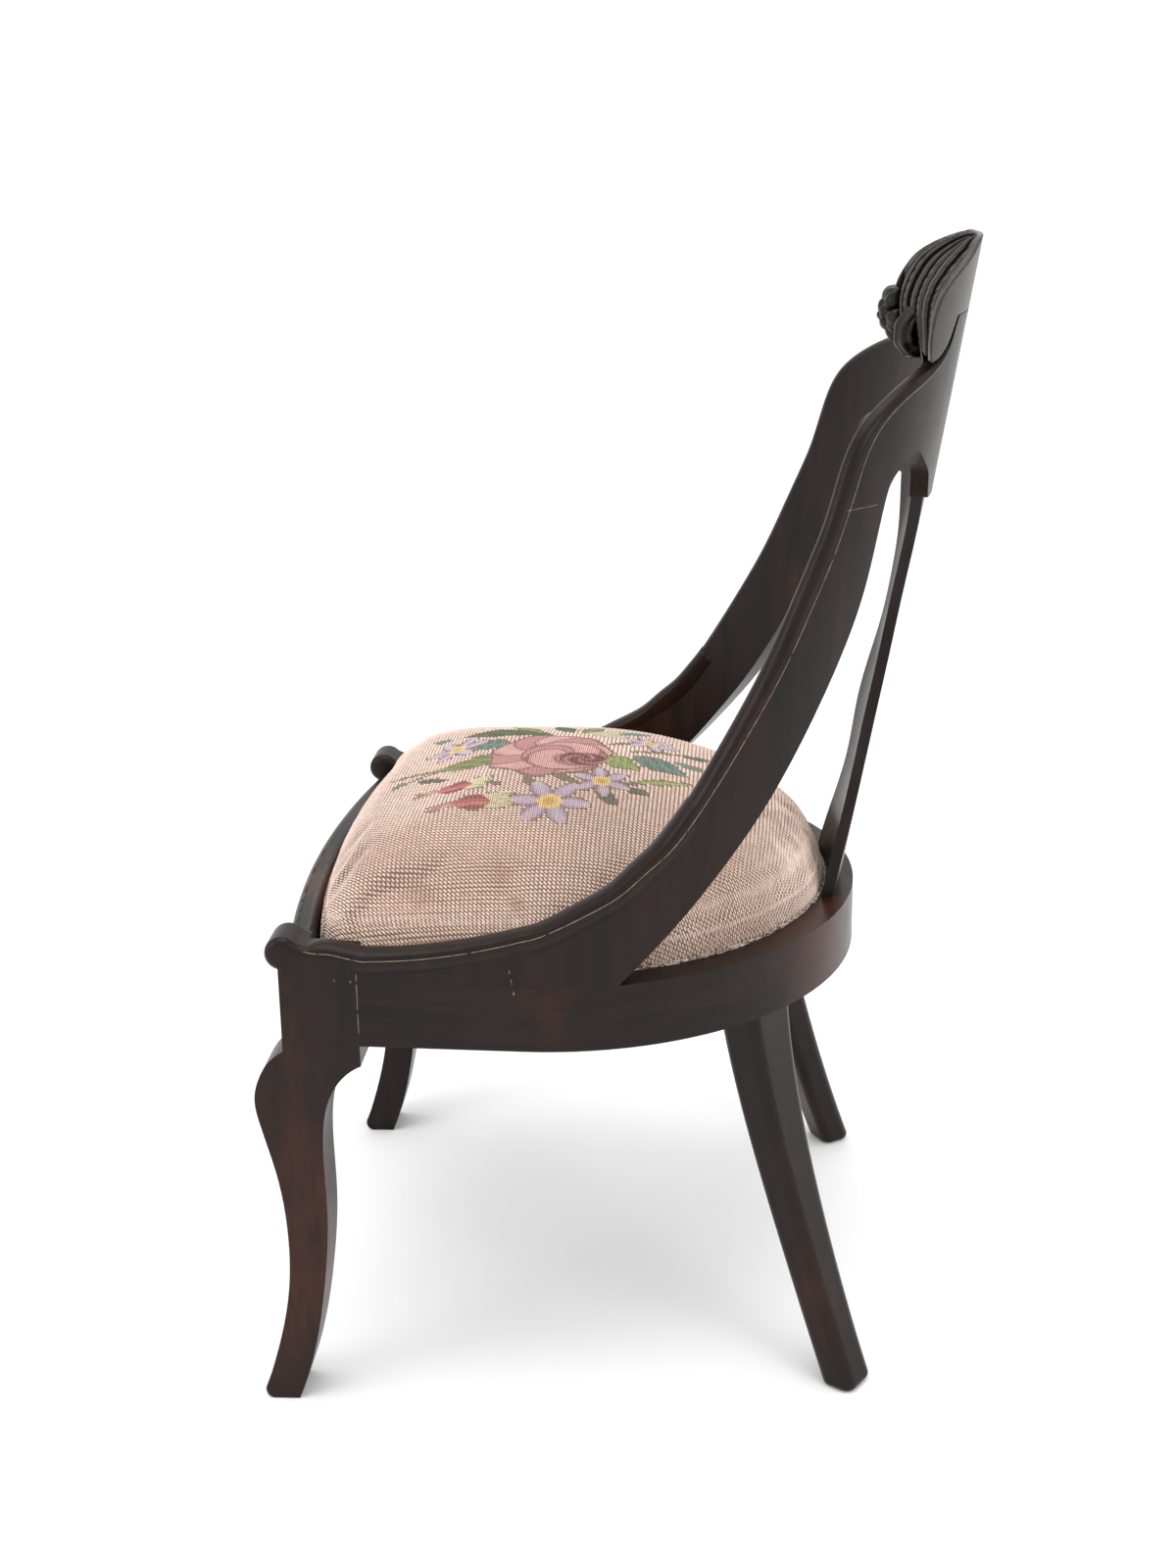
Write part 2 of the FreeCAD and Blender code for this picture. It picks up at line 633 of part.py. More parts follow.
def carving_dowels():
    lean = V(0, RAKE, 1)
    return [(shell_point(YOKE_ANGLE / 2.0, 0, CROWN_JOINT, CREST_THICKNESS / 2.0), lean)]


# Drop-in seat: a half-lapped frame, webbing, burlap, stuffing and a crowned needlework cover

# Each level of the crown: share of its height above the rail, then how far its sides and its front draw in
CROWN_OF_SEAT = [(0.19, 0.0, 0.0), (0.42, 0.05, 0.015), (0.62, 0.20, 0.17), (0.80, 0.46, 0.43),
                 (0.935, 0.74, 0.65), (1.0, 1.0, 0.82)]
FRAME_MARGIN = COVER_THICKNESS + FIT
FRAME_TOP = RABBET_FLOOR + FRAME_THICKNESS
WEB_TOP = FRAME_TOP + 2.0 * WEB_THICKNESS
BURLAP_TOP = WEB_TOP + BURLAP_THICKNESS


def seat_corner(margin, front_margin):
    """Where the seat's side line would meet its bowed front line, before the corner is rounded."""
    inset = LIP_WIDTH + SEAT_GAP + margin
    setback = FRONT_LIP + SEAT_GAP + front_margin
    y = front_line(setback, half_width(inset, POST_FRONT))
    return half_width(inset, y), y


def seat_outline(margin, front_margin, z):
    """The plan of the drop-in seat, drawn in from the opening that the rails leave for it."""
    inset = LIP_WIDTH + SEAT_GAP + margin
    setback = FRONT_LIP + SEAT_GAP + front_margin
    x, y = seat_corner(margin, front_margin)
    turn = CORNER_ROUND * half_width(inset, 0) / half_width(LIP_WIDTH + SEAT_GAP, 0)
    cut = turn * (1.0 - math.sqrt(0.5))

    def back(angle):
        p = shell_point(angle, 0, 0, inset)
        return V(p.x, p.y, z)

    side = V(half_width(inset, y + turn), y + turn, z)
    corner = V(x - cut, y + cut, z)
    front = front_arc(setback, x - turn, z)
    other_side, other_corner = V(-side.x, side.y, z), V(-corner.x, corner.y, z)
    return Part.Wire([
        line(side, back(ARC_END)), arc(back(ARC_END), back(ARC_END / 2.0), back(0)),
        arc(back(0), back(-ARC_END / 2.0), back(-ARC_END)), line(back(-ARC_END), other_side),
        arc(other_side, other_corner, front[0]), arc(*front), arc(front[2], corner, side)])


def seat_plate(margin, z0, z1):
    return Part.Face(seat_outline(margin, margin, z0)).extrude(V(0, 0, z1 - z0))


def cushion(skin, bottom):
    """The crowned seat, with everything drawn in by a skin thickness."""
    sections = []
    for rise, sides, front in CROWN_OF_SEAT:
        margin = skin + sides * CROWN_DRAW_IN
        front_margin = skin + front * CROWN_DRAW_IN
        sections.append(seat_outline(margin, front_margin, RAIL_TOP + rise * (SEAT_CROWN - skin)))
    crown = Part.makeLoft(sections, True, False)
    spring = RAIL_TOP + CROWN_OF_SEAT[0][0] * (SEAT_CROWN - skin)
    return crown.fuse(seat_plate(skin, bottom, spring)).removeSplitter()


def seat_cover():
    return cushion(0, RABBET_FLOOR + FIT).cut(cushion(COVER_THICKNESS, RABBET_FLOOR - FAR))


def seat_stuffing():
    return cushion(FRAME_MARGIN, BURLAP_TOP)


def slip_frame():
    """Four members, half-lapped: the sides take the upper half of each corner."""
    ring = seat_plate(FRAME_MARGIN, RABBET_FLOOR, FRAME_TOP).cut(
        seat_plate(FRAME_MARGIN + FRAME_WIDTH, RABBET_FLOOR - 1.0, FRAME_TOP + 1.0))
    inner_x, inner_y = seat_corner(FRAME_MARGIN + FRAME_WIDTH, FRAME_MARGIN + FRAME_WIDTH)
    front_y = inner_y + CORNER_ROUND
    side_x = inner_x - CORNER_ROUND
    back_y = SEAT_RADIUS / 3.0
    middle = RABBET_FLOOR + FRAME_THICKNESS / 2.0
    ends = box(-FAR, FAR, -FAR, front_y, middle, FAR).cut(box(-side_x, side_x, -FAR, FAR, 0, FAR))
    laps = ends.fuse(box(-FAR, FAR, back_y, back_y + FRAME_WIDTH, middle, FAR))
    sides = ring.common(box(-FAR, FAR, front_y, back_y, 0, FAR).fuse(laps)).removeSplitter()
    left = sides.common(box(0, FAR, -FAR, FAR, 0, FAR))
    front = ring.common(box(-FAR, FAR, -FAR, front_y, 0, FAR)).cut(laps)
    back = ring.common(box(-FAR, FAR, back_y, FAR, 0, FAR)).cut(laps)
    return front, back, left, mirrored(left)


def webbing():
    crosswise, lengthwise = [], []
    plate = seat_plate(FRAME_MARGIN + WEB_MARGIN, FRAME_TOP, WEB_TOP)
    half = WEB_WIDTH / 2.0
    upper = FRAME_TOP + WEB_THICKNESS
    for step in (-1.5, -0.5, 0.5, 1.5):
        y = step * WEB_PITCH
        crosswise.append(plate.common(box(-FAR, FAR, y - half, y + half, FRAME_TOP, upper)))
    for step in (-1, 0, 1):
        x = step * WEB_PITCH
        lengthwise.append(plate.common(box(x - half, x + half, -FAR, FAR, upper, WEB_TOP)))
    return Part.makeCompound(crosswise), Part.makeCompound(lengthwise)


def dust_cover():
    margin = RAIL_WIDTH + DUST_COVER_MARGIN - LIP_WIDTH - SEAT_GAP
    return seat_plate(margin, RABBET_FLOOR - DUST_COVER_THICKNESS, RABBET_FLOOR)


def tack_places():
    """Places along the dust cover's edge: both sides, round the back and across the front."""
    inset = RAIL_WIDTH + DUST_COVER_MARGIN + TACK_MARGIN
    setback = FRONT_LIP + inset - LIP_WIDTH
    z = RABBET_FLOOR - DUST_COVER_THICKNESS
    radius = SEAT_RADIUS - inset
    places = []
    round_back = int(math.pi * radius / TACK_PITCH)
    for i in range(round_back + 1):
        spot = shell_point(90.0 - 180.0 * i / round_back, 0, 0, inset)
        places.append(V(spot.x, spot.y, z))
    along_side = int((-POST_JOINT_Y) / TACK_PITCH)
    for i in range(1, along_side + 1):
        x = half_width(inset, -i * TACK_PITCH)
        places += [V(x, -i * TACK_PITCH, z), V(-x, -i * TACK_PITCH, z)]
    for step in (-2, -1, 0, 1, 2):
        x = step * TACK_PITCH
        places.append(V(x, front_line(setback, x), z))
    return places


def tack(place, clearance=0.0):
    head = cylinder(TACK_HEAD, place - V(0, 0, TACK_HEAD_THICKNESS), V(0, 0, 1), TACK_HEAD_THICKNESS)
    shank = cylinder(TACK_SHANK + 2.0 * clearance, place, V(0, 0, 1), TACK_LENGTH + clearance)
    return shank if clearance else head.fuse(shank)


# All pieces, named

def both_sides(name, shape):
    return {name + "_left": shape, name + "_right": mirrored(shape)}


def both(places):
    """The given places and their mirror images."""
    return places + [(V(-p.x, p.y, p.z), V(-d.x, d.y, d.z)) for p, d in places]


def all_pieces():
    chair = {}
    ring = full_rail_ring()
    back_wedge = wedge(-BACK_JOINT_ANGLE, BACK_JOINT_ANGLE, 0, FAR)
    side_rail = ring.common(box(0, FAR, -FAR, FAR, 0, FAR)).cut(back_wedge).fuse(side_tenon(0))
    stile, crest = back_pieces()
    leg = front_leg()
    rail = front_rail()
    chair.update(both_sides("front_leg", leg))
    chair["front_rail"] = rail
    chair.update(both_sides("side_rail", side_rail))
    chair["back_rail"] = ring.common(back_wedge).cut(splat_tenons(FIT)[0])
    chair.update(both_sides("stile", stile))
    chair["crest_rail"] = crest.cut(splat_tenons(FIT)[1])
    chair["crest_carving"] = crest_carving()
    chair["splat"] = splat()
    chair.update(both_sides("rear_leg", rear_leg()))
    chair.update(both_sides("front_corner_block", front_block().cut([ring, rail, leg])))
    chair.update(both_sides("rear_corner_block", rear_block().cut(ring)))
    front, back, left, right = slip_frame()
    chair["slip_frame_front"] = front
    chair["slip_frame_back"] = back
    chair["slip_frame_left"] = left
    chair["slip_frame_right"] = right
    chair["webbing_crosswise"], chair["webbing_lengthwise"] = webbing()
    chair["burlap"] = seat_plate(FRAME_MARGIN + WEB_MARGIN / 2.0, WEB_TOP, BURLAP_TOP)
    chair["seat_stuffing"] = seat_stuffing()
    chair["seat_cover"] = seat_cover()
    chair["dust_cover"] = dust_cover()
    return chair


def drill(chair, names, holes):
    for name in names:
        chair[name] = chair[name].cut(holes)


def add_fasteners(chair):
    side_rails = ["side_rail_left", "side_rail_right"]
    stiles = ["stile_left", "stile_right"]
    large = (DOWEL_DEPTH, DOWEL_DIAMETER)
    small = (SMALL_DOWEL_DEPTH, SMALL_DOWEL_DIAMETER)
    rear_legs = ["rear_leg_left", "rear_leg_right"]
    sets = [
        ("rear_leg_dowels", rear_leg_dowels(), large, rear_legs + ["back_rail"] + side_rails),
        ("rail_joint_dowels", rail_joint_dowels(), small, ["back_rail"] + side_rails),
        ("stile_dowels", tail_dowels(), small, stiles + side_rails),
        ("crest_joint_dowels", crest_joint_dowels(), small, stiles + ["crest_rail"]),
        ("carving_dowels", carving_dowels(), small, ["crest_rail", "crest_carving"])]
    for name, places, (depth, diameter), mates in sets:
        chair[name] = Part.makeCompound([dowel(p, d, depth, diameter) for p, d in both(places)])
        drill(chair, mates, [dowel(p, d, depth, diameter, FIT) for p, d in both(places)])
    screws = both(front_block_screws() + rear_block_screws())
    blocks = ["front_corner_block_left", "front_corner_block_right",
              "rear_corner_block_left", "rear_corner_block_right"]
    chair["corner_block_screws"] = Part.makeCompound([screw(p, d) for p, d in screws])
    drill(chair, blocks + side_rails + ["front_rail", "back_rail"], [screw(p, d, FIT) for p, d in screws])
    tacks = tack_places()
    members = ["slip_frame_front", "slip_frame_back", "slip_frame_left", "slip_frame_right", "dust_cover"]
    chair["dust_cover_tacks"] = Part.makeCompound([tack(p) for p in tacks])
    drill(chair, members, [tack(p, FIT) for p in tacks])


def main():
    chair = all_pieces()
    add_fasteners(chair)
    toe = chair["front_leg_left"].optimalBoundingBox().YMin
    crown_back = chair["crest_carving"].optimalBoundingBox().YMax
    os.makedirs("parts", exist_ok=True)
    for name, shape in chair.items():
        shape.translate(V(0, -(toe + crown_back) / 2.0, 0))
        shape.exportStep("parts/" + name + ".step")


main()
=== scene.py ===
"""Looks of the gondola-back side chair: polished mahogany, a carved crown and a needlework drop-in seat."""

import math
import random

import bmesh
import bpy
import numpy as np
from mathutils import Matrix, Vector
from mathutils.bvhtree import BVHTree


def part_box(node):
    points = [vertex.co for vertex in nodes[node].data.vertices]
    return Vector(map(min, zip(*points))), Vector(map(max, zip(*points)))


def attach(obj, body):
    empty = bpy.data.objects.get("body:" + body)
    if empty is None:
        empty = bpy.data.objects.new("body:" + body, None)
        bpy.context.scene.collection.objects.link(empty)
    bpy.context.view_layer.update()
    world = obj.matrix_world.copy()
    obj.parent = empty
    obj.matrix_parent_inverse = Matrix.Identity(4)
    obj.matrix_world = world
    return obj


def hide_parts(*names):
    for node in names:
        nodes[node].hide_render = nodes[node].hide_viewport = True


# Sizes in millimetres, in the drawing frame of the part: floor at 0, the seat's arc centre on the Z axis
ORIGIN_SHIFT = 54.06
SEAT_RADIUS = 242.0
SIDE_TAPER = math.radians(2.5)
RAIL_TOP = 355.0
RABBET_FLOOR = 341.0
RAKE = math.tan(math.radians(9.4))
SEAT_INSET = 24.5
SEAT_FRONT = -187.0
FRONT_BOW_RADIUS = 1166.0
SEAT_CORNER = 22.0
ARC_END = 92.5

# The crown of the cushion: share of its rise, then how far its sides and its front draw in
SEAT_CROWN = 101.0
CROWN_DRAW_IN = 196.0
CROWN_OF_SEAT = [(0.19, 0.0, 0.0), (0.42, 0.05, 0.015), (0.62, 0.20, 0.17), (0.80, 0.46, 0.43),
                 (0.935, 0.74, 0.65), (1.0, 1.0, 0.82)]
CUSHION_CENTRE_Y = -4.0
START_INSET = 0.8
MOVE_CAP = 6.0

# Needlework
CANVAS_PITCH = 3.4
PETIT_PITCH = 1.7
STITCH_RISE = 0.75
STITCH_EDGE = 357.0

# Crown carving
CARVE_VOXEL = 1.15
CARVE_DEPTH = 2.6
CROWN_JOINT = 471.0
CROWN_HEIGHT = 55.0
CROWN_DEPTH = 57.0
EAR_DROP = 36.0
FLOWER_RADIUS = 21.0
BUD_SPREAD = 62.0
LEAF_RIBS = 6.5
FLOWER_SHARE = -0.14
BUD_SHARE = -0.5
FLOWER_HOLLOW = 36.0
BUD_HOLLOW = 25.0
HOLLOW_DEPTH = 5.0
# Half width of the crown at shares of its height over the joint, and of the ears below it
CROWN_WIDTHS = [(-1.0, 116.0), (-0.3, 126.5), (0.07, 126.5), (0.345, 120.5), (0.545, 106.0), (0.727, 82.0),
                (0.873, 62.0), (1.0, 40.0)]

# Rolled edge of the back, with the quirk below it
SIDE_FORWARD = 123.1
TAIL_HEIGHT = 18.0
TAIL_CLIMB = 21.0
TAIL_CURVE = 1.9
ROLL_WIDTH = 21.5
ROLL_DEPTH = 11.5
ROLL_PROUD = 0.15
ROLL_STEP = 2.0
ROLL_RUN_IN = 20.0
ROLL_RUN_OUT = 36.0
KNOB_REACH = 46.0
LEG_SINK = 2.2
NOSING_RISE = 6.0
QUIRK_DROP = 6.5
POST_JOINT_Y = -133.5
CREST_JOINT = 343.0

# Dust sheet
DUST_MARGIN = 6.0
DUST_SAG = 0.5

random.seed(7)
np.random.seed(7)

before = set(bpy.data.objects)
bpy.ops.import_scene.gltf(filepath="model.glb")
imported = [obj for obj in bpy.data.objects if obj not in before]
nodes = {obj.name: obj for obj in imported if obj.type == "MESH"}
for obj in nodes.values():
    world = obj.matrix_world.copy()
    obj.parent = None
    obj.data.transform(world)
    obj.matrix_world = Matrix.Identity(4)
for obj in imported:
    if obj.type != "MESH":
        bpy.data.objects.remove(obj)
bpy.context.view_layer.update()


def to_scene(points):
    """Drawing-frame millimetres to scene metres."""
    p = np.asarray(points, float).copy()
    p[..., 1] -= ORIGIN_SHIFT
    return p / 1000.0


def smoothstep(low, high, value):
    t = np.clip((value - low) / (high - low), 0.0, 1.0)
    return t * t * (3.0 - 2.0 * t)


# Materials


def new_material(name):
    material = bpy.data.materials.new(name)
    material.use_nodes = True
    return material, material.node_tree, material.node_tree.nodes["Principled BSDF"]


def add(tree, kind, **settings):
    node = tree.nodes.new(kind)
    for key, value in settings.items():
        setattr(node, key, value)
    return node


def ramp(tree, source, stops):
    node = add(tree, "ShaderNodeValToRGB")
    elements = node.color_ramp.elements
    while len(elements) < len(stops):
        elements.new(0.5)
    for element, (place, colour) in zip(elements, stops):
        element.position = place
        element.color = (*colour, 1.0)
    tree.links.new(source, node.inputs["Fac"])
    return node.outputs["Color"]


def noise(tree, scale, detail, stretch=(1.0, 1.0, 1.0), rough=0.55, warp=0.0):
    place = add(tree, "ShaderNodeTexCoord")
    mapping = add(tree, "ShaderNodeMapping")
    mapping.inputs["Scale"].default_value = stretch
    tree.links.new(place.outputs["Object"], mapping.inputs["Vector"])
    node = add(tree, "ShaderNodeTexNoise")
    node.inputs["Scale"].default_value = scale
    node.inputs["Detail"].default_value = detail
    node.inputs["Roughness"].default_value = rough
    node.inputs["Distortion"].default_value = warp
    tree.links.new(mapping.outputs["Vector"], node.inputs["Vector"])
    return node.outputs["Fac"]


def to_range(tree, source, low, high, out_low, out_high):
    node = add(tree, "ShaderNodeMapRange")
    node.inputs["From Min"].default_value = low
    node.inputs["From Max"].default_value = high
    node.inputs["To Min"].default_value = out_low
    node.inputs["To Max"].default_value = out_high
    tree.links.new(source, node.inputs["Value"])
    return node.outputs["Result"]


def blend_colours(tree, factor, a, b):
    node = add(tree, "ShaderNodeMix", data_type="RGBA")
    tree.links.new(factor, node.inputs[0])
    tree.links.new(a, node.inputs[6])
    tree.links.new(b, node.inputs[7])
    return node.outputs[2]


def bump(tree, shader, height, strength, distance):
    node = add(tree, "ShaderNodeBump")
    node.inputs["Strength"].default_value = strength
    node.inputs["Distance"].default_value = distance
    tree.links.new(height, node.inputs["Height"])
    tree.links.new(node.outputs["Normal"], shader.inputs["Normal"])


def polished_wood(name, stretch, dark, light, patch, patch_at, rough, coat, gloss=0.17):
    """Figured wood: streaks along the grain, redder worn patches and an uneven old polish."""
    material, tree, shader = new_material(name)
    grain = noise(tree, 46.0, 7.0, stretch, 0.62, 0.6)
    fine = noise(tree, 210.0, 4.0, stretch, 0.6)
    streaks = ramp(tree, grain, [(0.30, dark), (0.52, tuple(0.5 * (d + l) for d, l in zip(dark, light))),
                                 (0.74, light)])
    warm = ramp(tree, fine, [(0.32, tuple(0.55 * c for c in patch)), (0.66, patch)])
    where = noise(tree, 5.2, 5.0, (1.0, 1.0, 0.7), 0.55, 0.4)
    mask = to_range(tree, where, patch_at, patch_at + 0.14, 0.0, 0.85)
    tree.links.new(blend_colours(tree, mask, streaks, warm), shader.inputs["Base Color"])
    haze = noise(tree, 9.0, 6.0, (1.0, 1.0, 1.0), 0.6)
    tree.links.new(to_range(tree, haze, 0.3, 0.7, rough - 0.07, rough + 0.1), shader.inputs["Roughness"])
    shader.inputs["Coat Weight"].default_value = coat
    shader.inputs["Coat Roughness"].default_value = 0.18
    shader.inputs["Specular IOR Level"].default_value = gloss
    bump(tree, shader, fine, 0.12, 0.0003)
    return material


def groove_shaded_wood(name, ridge, valley):
    """Carved wood with painted shade: the colour darkens from the ridge colour to near black down in the
    grooves, which are also rougher and less glossy.
    """
    material, tree, shader = new_material(name)
    source = add(tree, "ShaderNodeAttribute", attribute_name="groove_shade")
    colour = ramp(tree, source.outputs["Fac"], [(0.05, ridge), (0.6, valley)])
    tree.links.new(colour, shader.inputs["Base Color"])
    tree.links.new(to_range(tree, source.outputs["Fac"], 0.0, 0.5, 0.30, 0.85), shader.inputs["Roughness"])
    shine = to_range(tree, source.outputs["Fac"], 0.0, 0.5, 0.34, 0.03)
    tree.links.new(shine, shader.inputs["Specular IOR Level"])
    return material


def plain(name, colour, rough, metal=0.0, speck=0.25, scale=120.0):
    """A matt or metal finish, broken up by a fine speckle."""
    material, tree, shader = new_material(name)
    fine = noise(tree, scale, 4.0)
    low = tuple(c * (1.0 - speck) for c in colour)
    high = tuple(min(1.0, c * (1.0 + speck)) for c in colour)
    stops = [(0.3, low), (0.7, high)]
    tree.links.new(ramp(tree, fine, stops), shader.inputs["Base Color"])
    tree.links.new(to_range(tree, fine, 0.3, 0.7, rough - 0.06, rough + 0.08), shader.inputs["Roughness"])
    shader.inputs["Metallic"].default_value = metal
    return material


def woven(name, colour, pitch, rough=0.9):
    """Plain-weave cloth: two crossed waves raise the yarns, and the colour is painted darker between them as
    shade.
    """
    material, tree, shader = new_material(name)
    place = add(tree, "ShaderNodeTexCoord")
    heights = []
    for direction in ("X", "Y"):
        wave = add(tree, "ShaderNodeTexWave", wave_type="BANDS", bands_direction=direction)
        wave.inputs["Scale"].default_value = 0.314 / pitch
        wave.inputs["Distortion"].default_value = 0.6
        tree.links.new(place.outputs["Object"], wave.inputs["Vector"])
        heights.append(wave.outputs["Fac"])
    cross = add(tree, "ShaderNodeMath", operation="MULTIPLY")
    tree.links.new(heights[0], cross.inputs[0])
    tree.links.new(heights[1], cross.inputs[1])
    # Painted shade: the colour drops to 0.45 of itself in the low gaps between the yarns.
    dark = tuple(0.45 * c for c in colour)
    tree.links.new(ramp(tree, cross.outputs[0], [(0.05, dark), (0.5, colour)]), shader.inputs["Base Color"])
    shader.inputs["Roughness"].default_value = rough
    bump(tree, shader, cross.outputs[0], 0.4, 0.0006)
    return material


def painted(name, attribute, rough, sheen):
    """Colour from the mesh, one value to a stitch or thread."""
    material, tree, shader = new_material(name)
    source = add(tree, "ShaderNodeAttribute", attribute_name=attribute)
    tree.links.new(source.outputs["Color"], shader.inputs["Base Color"])
    shader.inputs["Roughness"].default_value = rough
    shader.inputs["Sheen Weight"].default_value = sheen
    return material


DARK = (0.0036, 0.0024, 0.0021)
BROWN = (0.0155, 0.0062, 0.0044)
RED = (0.052, 0.0135, 0.0075)
upright = polished_wood("mahogany_upright", (1.0, 1.0, 0.14), DARK, BROWN, RED, 0.54, 0.33, 0.06)
level = polished_wood("mahogany_level", (0.35, 0.14, 1.0), DARK, BROWN, RED, 0.48, 0.33, 0.06)
carved = polished_wood("mahogany_carved", (1.0, 0.5, 0.5), DARK, (0.012, 0.0062, 0.005), RED, 0.68, 0.36,
                       0.10)
worn = plain("worn_edge", (0.20, 0.135, 0.095), 0.5, 0.0, 0.45, 260.0)
# Painted shade: the near-black second colour darkens the carved grooves of the leaves.
groove_shaded_leaf_wood = groove_shaded_wood("mahogany_leaf_groove_shade", (0.016, 0.0095, 0.0075), (0.0016, 0.0012, 0.0011))
thread = plain("loose_thread", (0.62, 0.56, 0.48), 0.9)
pale_wood = polished_wood("secondary_wood", (0.2, 1.0, 1.0), (0.30, 0.19, 0.10), (0.46, 0.31, 0.17),
                          (0.40, 0.25, 0.13), 0.62, 0.62, 0.0)
dowel_wood = plain("dowel_wood", (0.45, 0.31, 0.18), 0.6)
steel = plain("screw_steel", (0.30, 0.28, 0.26), 0.42, 1.0)
iron = plain("tack_iron", (0.06, 0.06, 0.065), 0.45, 0.9)
burlap_cloth = woven("burlap", (0.34, 0.25, 0.14), 0.0022)
web_cloth = woven("webbing", (0.42, 0.34, 0.23), 0.0026)
dust_cloth = woven("dust_cloth", (0.035, 0.034, 0.036), 0.0011)
canvas_back = woven("canvas", (0.30, 0.19, 0.14), 0.0034)
wool = painted("needlepoint_wool", "thread", 0.88, 0.25)

FINISHES = {
    "front_leg_left": upright, "front_leg_right": upright, "stile_left": upright, "stile_right": upright,
    "crest_rail": upright, "splat": upright, "rear_leg_left": upright, "rear_leg_right": upright,
    "front_rail": level, "side_rail_left": level, "side_rail_right": level, "back_rail": level,
    "crest_carving": carved, "corner_block_screws": steel, "dust_cover_tacks": iron, "burlap": burlap_cloth,
    "webbing_crosswise": web_cloth, "webbing_lengthwise": web_cloth, "dust_cover": dust_cloth,
    "seat_cover": canvas_back, "seat_stuffing": canvas_back,
}
for name, node in nodes.items():
    finish = FINISHES.get(name)
    if finish is None:
        finish = dowel_wood if name.endswith("dowels") else pale_wood
    node.data.materials.clear()
    node.data.materials.append(finish)


# Mesh helpers


def in_scene(obj):
    bpy.context.scene.collection.objects.link(obj)


def mesh_object(name, points, faces, material, body, smooth=True):
    mesh = bpy.data.meshes.new(name)
    mesh.from_pydata([tuple(p) for p in points], [], [tuple(int(i) for i in f) for f in faces])
    mesh.update()
    mesh.materials.append(material)
    if smooth:
        mesh.shade_smooth()
    obj = bpy.data.objects.new(name, mesh)
    in_scene(obj)
    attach(obj, body)
    return obj


def mesh_tree(mesh):
    return BVHTree.FromPolygons([v.co for v in mesh.vertices], [f.vertices[:] for f in mesh.polygons])


def ring_faces(rows, columns, close=True):
    faces = []
    for r in range(rows - 1):
        for c in range(columns if close else columns - 1):
            d = (c + 1) % columns
            faces.append((r * columns + c, r * columns + d, (r + 1) * columns + d, (r + 1) * columns + c))
    return faces


def tube_faces(rows, columns):
    """Faces of a closed run of rings, with both ends capped."""
    faces = ring_faces(rows, columns)
    faces.append(tuple(range(columns - 1, -1, -1)))
    faces.append(tuple((rows - 1) * columns + c for c in range(columns)))
    return faces


def coordinates(mesh):
    co = np.zeros(len(mesh.vertices) * 3)
    mesh.vertices.foreach_get("co", co)
    return co.reshape(-1, 3)


def normals(mesh):
    no = np.zeros(len(mesh.vertices) * 3)
    mesh.vertices.foreach_get("normal", no)
    return no.reshape(-1, 3)


def put_back(mesh, co):
    mesh.vertices.foreach_set("co", np.asarray(co, float).ravel())
    mesh.update()


def apply_modifiers(obj):
    graph = bpy.context.evaluated_depsgraph_get()
    fresh = bpy.data.meshes.new_from_object(obj.evaluated_get(graph))
    obj.modifiers.clear()
    obj.data = fresh


def remesh(obj, size):
    modifier = obj.modifiers.new("remesh", "REMESH")
    modifier.mode = "VOXEL"
    modifier.voxel_size = size
    modifier.use_smooth_shade = True
    apply_modifiers(obj)


# Seat form: rings of the drop-in seat's plan, drawn in level by level


def seat_ring(margin, front_margin):
    """One closed plan of the seat, 360 points, counter-clockwise from the sitter's left front corner."""
    radius = SEAT_RADIUS - SEAT_INSET - margin
    turn = SEAT_CORNER * radius / (SEAT_RADIUS - SEAT_INSET)
    angles = np.radians(np.linspace(ARC_END, -ARC_END, 181))
    back = np.column_stack([radius * np.sin(angles), radius * np.cos(angles)])
    low = SEAT_FRONT + front_margin
    start = back[-1]
    corner_x = start[0] + (start[1] - low) * math.tan(SIDE_TAPER)
    corner_y = low + corner_x ** 2 / (2.0 * FRONT_BOW_RADIUS)
    side_y = np.linspace(start[1], corner_y + turn, 42)[1:]
    side = np.column_stack([start[0] + (start[1] - side_y) * math.tan(SIDE_TAPER), side_y])
    sweep = np.radians(np.linspace(180.0, 270.0, 14))[1:]
    centre = np.array([side[-1][0] + turn, side[-1][1]])
    corner = centre + turn * np.column_stack([np.cos(sweep), np.sin(sweep)])
    front_x = np.linspace(corner[-1][0], 0.0, 38)[1:]
    front = np.column_stack([front_x, low + front_x ** 2 / (2.0 * FRONT_BOW_RADIUS)])
    left = np.concatenate([side, corner, front])
    right = left[-2::-1] * np.array([-1.0, 1.0])
    return np.concatenate([back, left, right])


def curve_through(values, t):
    """A smooth curve through evenly spaced values, read at t from 0 to 1."""
    v = np.asarray(values, float)
    k = t * (len(v) - 1)
    i = min(int(k), len(v) - 2)
    f = k - i
    before = v[i - 1] if i > 0 else 2 * v[i] - v[i + 1]
    after = v[i + 2] if i + 2 < len(v) else 2 * v[i + 1] - v[i]
    a, b = 0.5 * (v[i + 1] - before), 0.5 * (after - v[i])
    return ((2 * f ** 3 - 3 * f ** 2 + 1) * v[i] + (f ** 3 - 2 * f ** 2 + f) * a
            + (3 * f ** 2 - 2 * f ** 3) * v[i + 1] + (f ** 3 - f ** 2) * b)


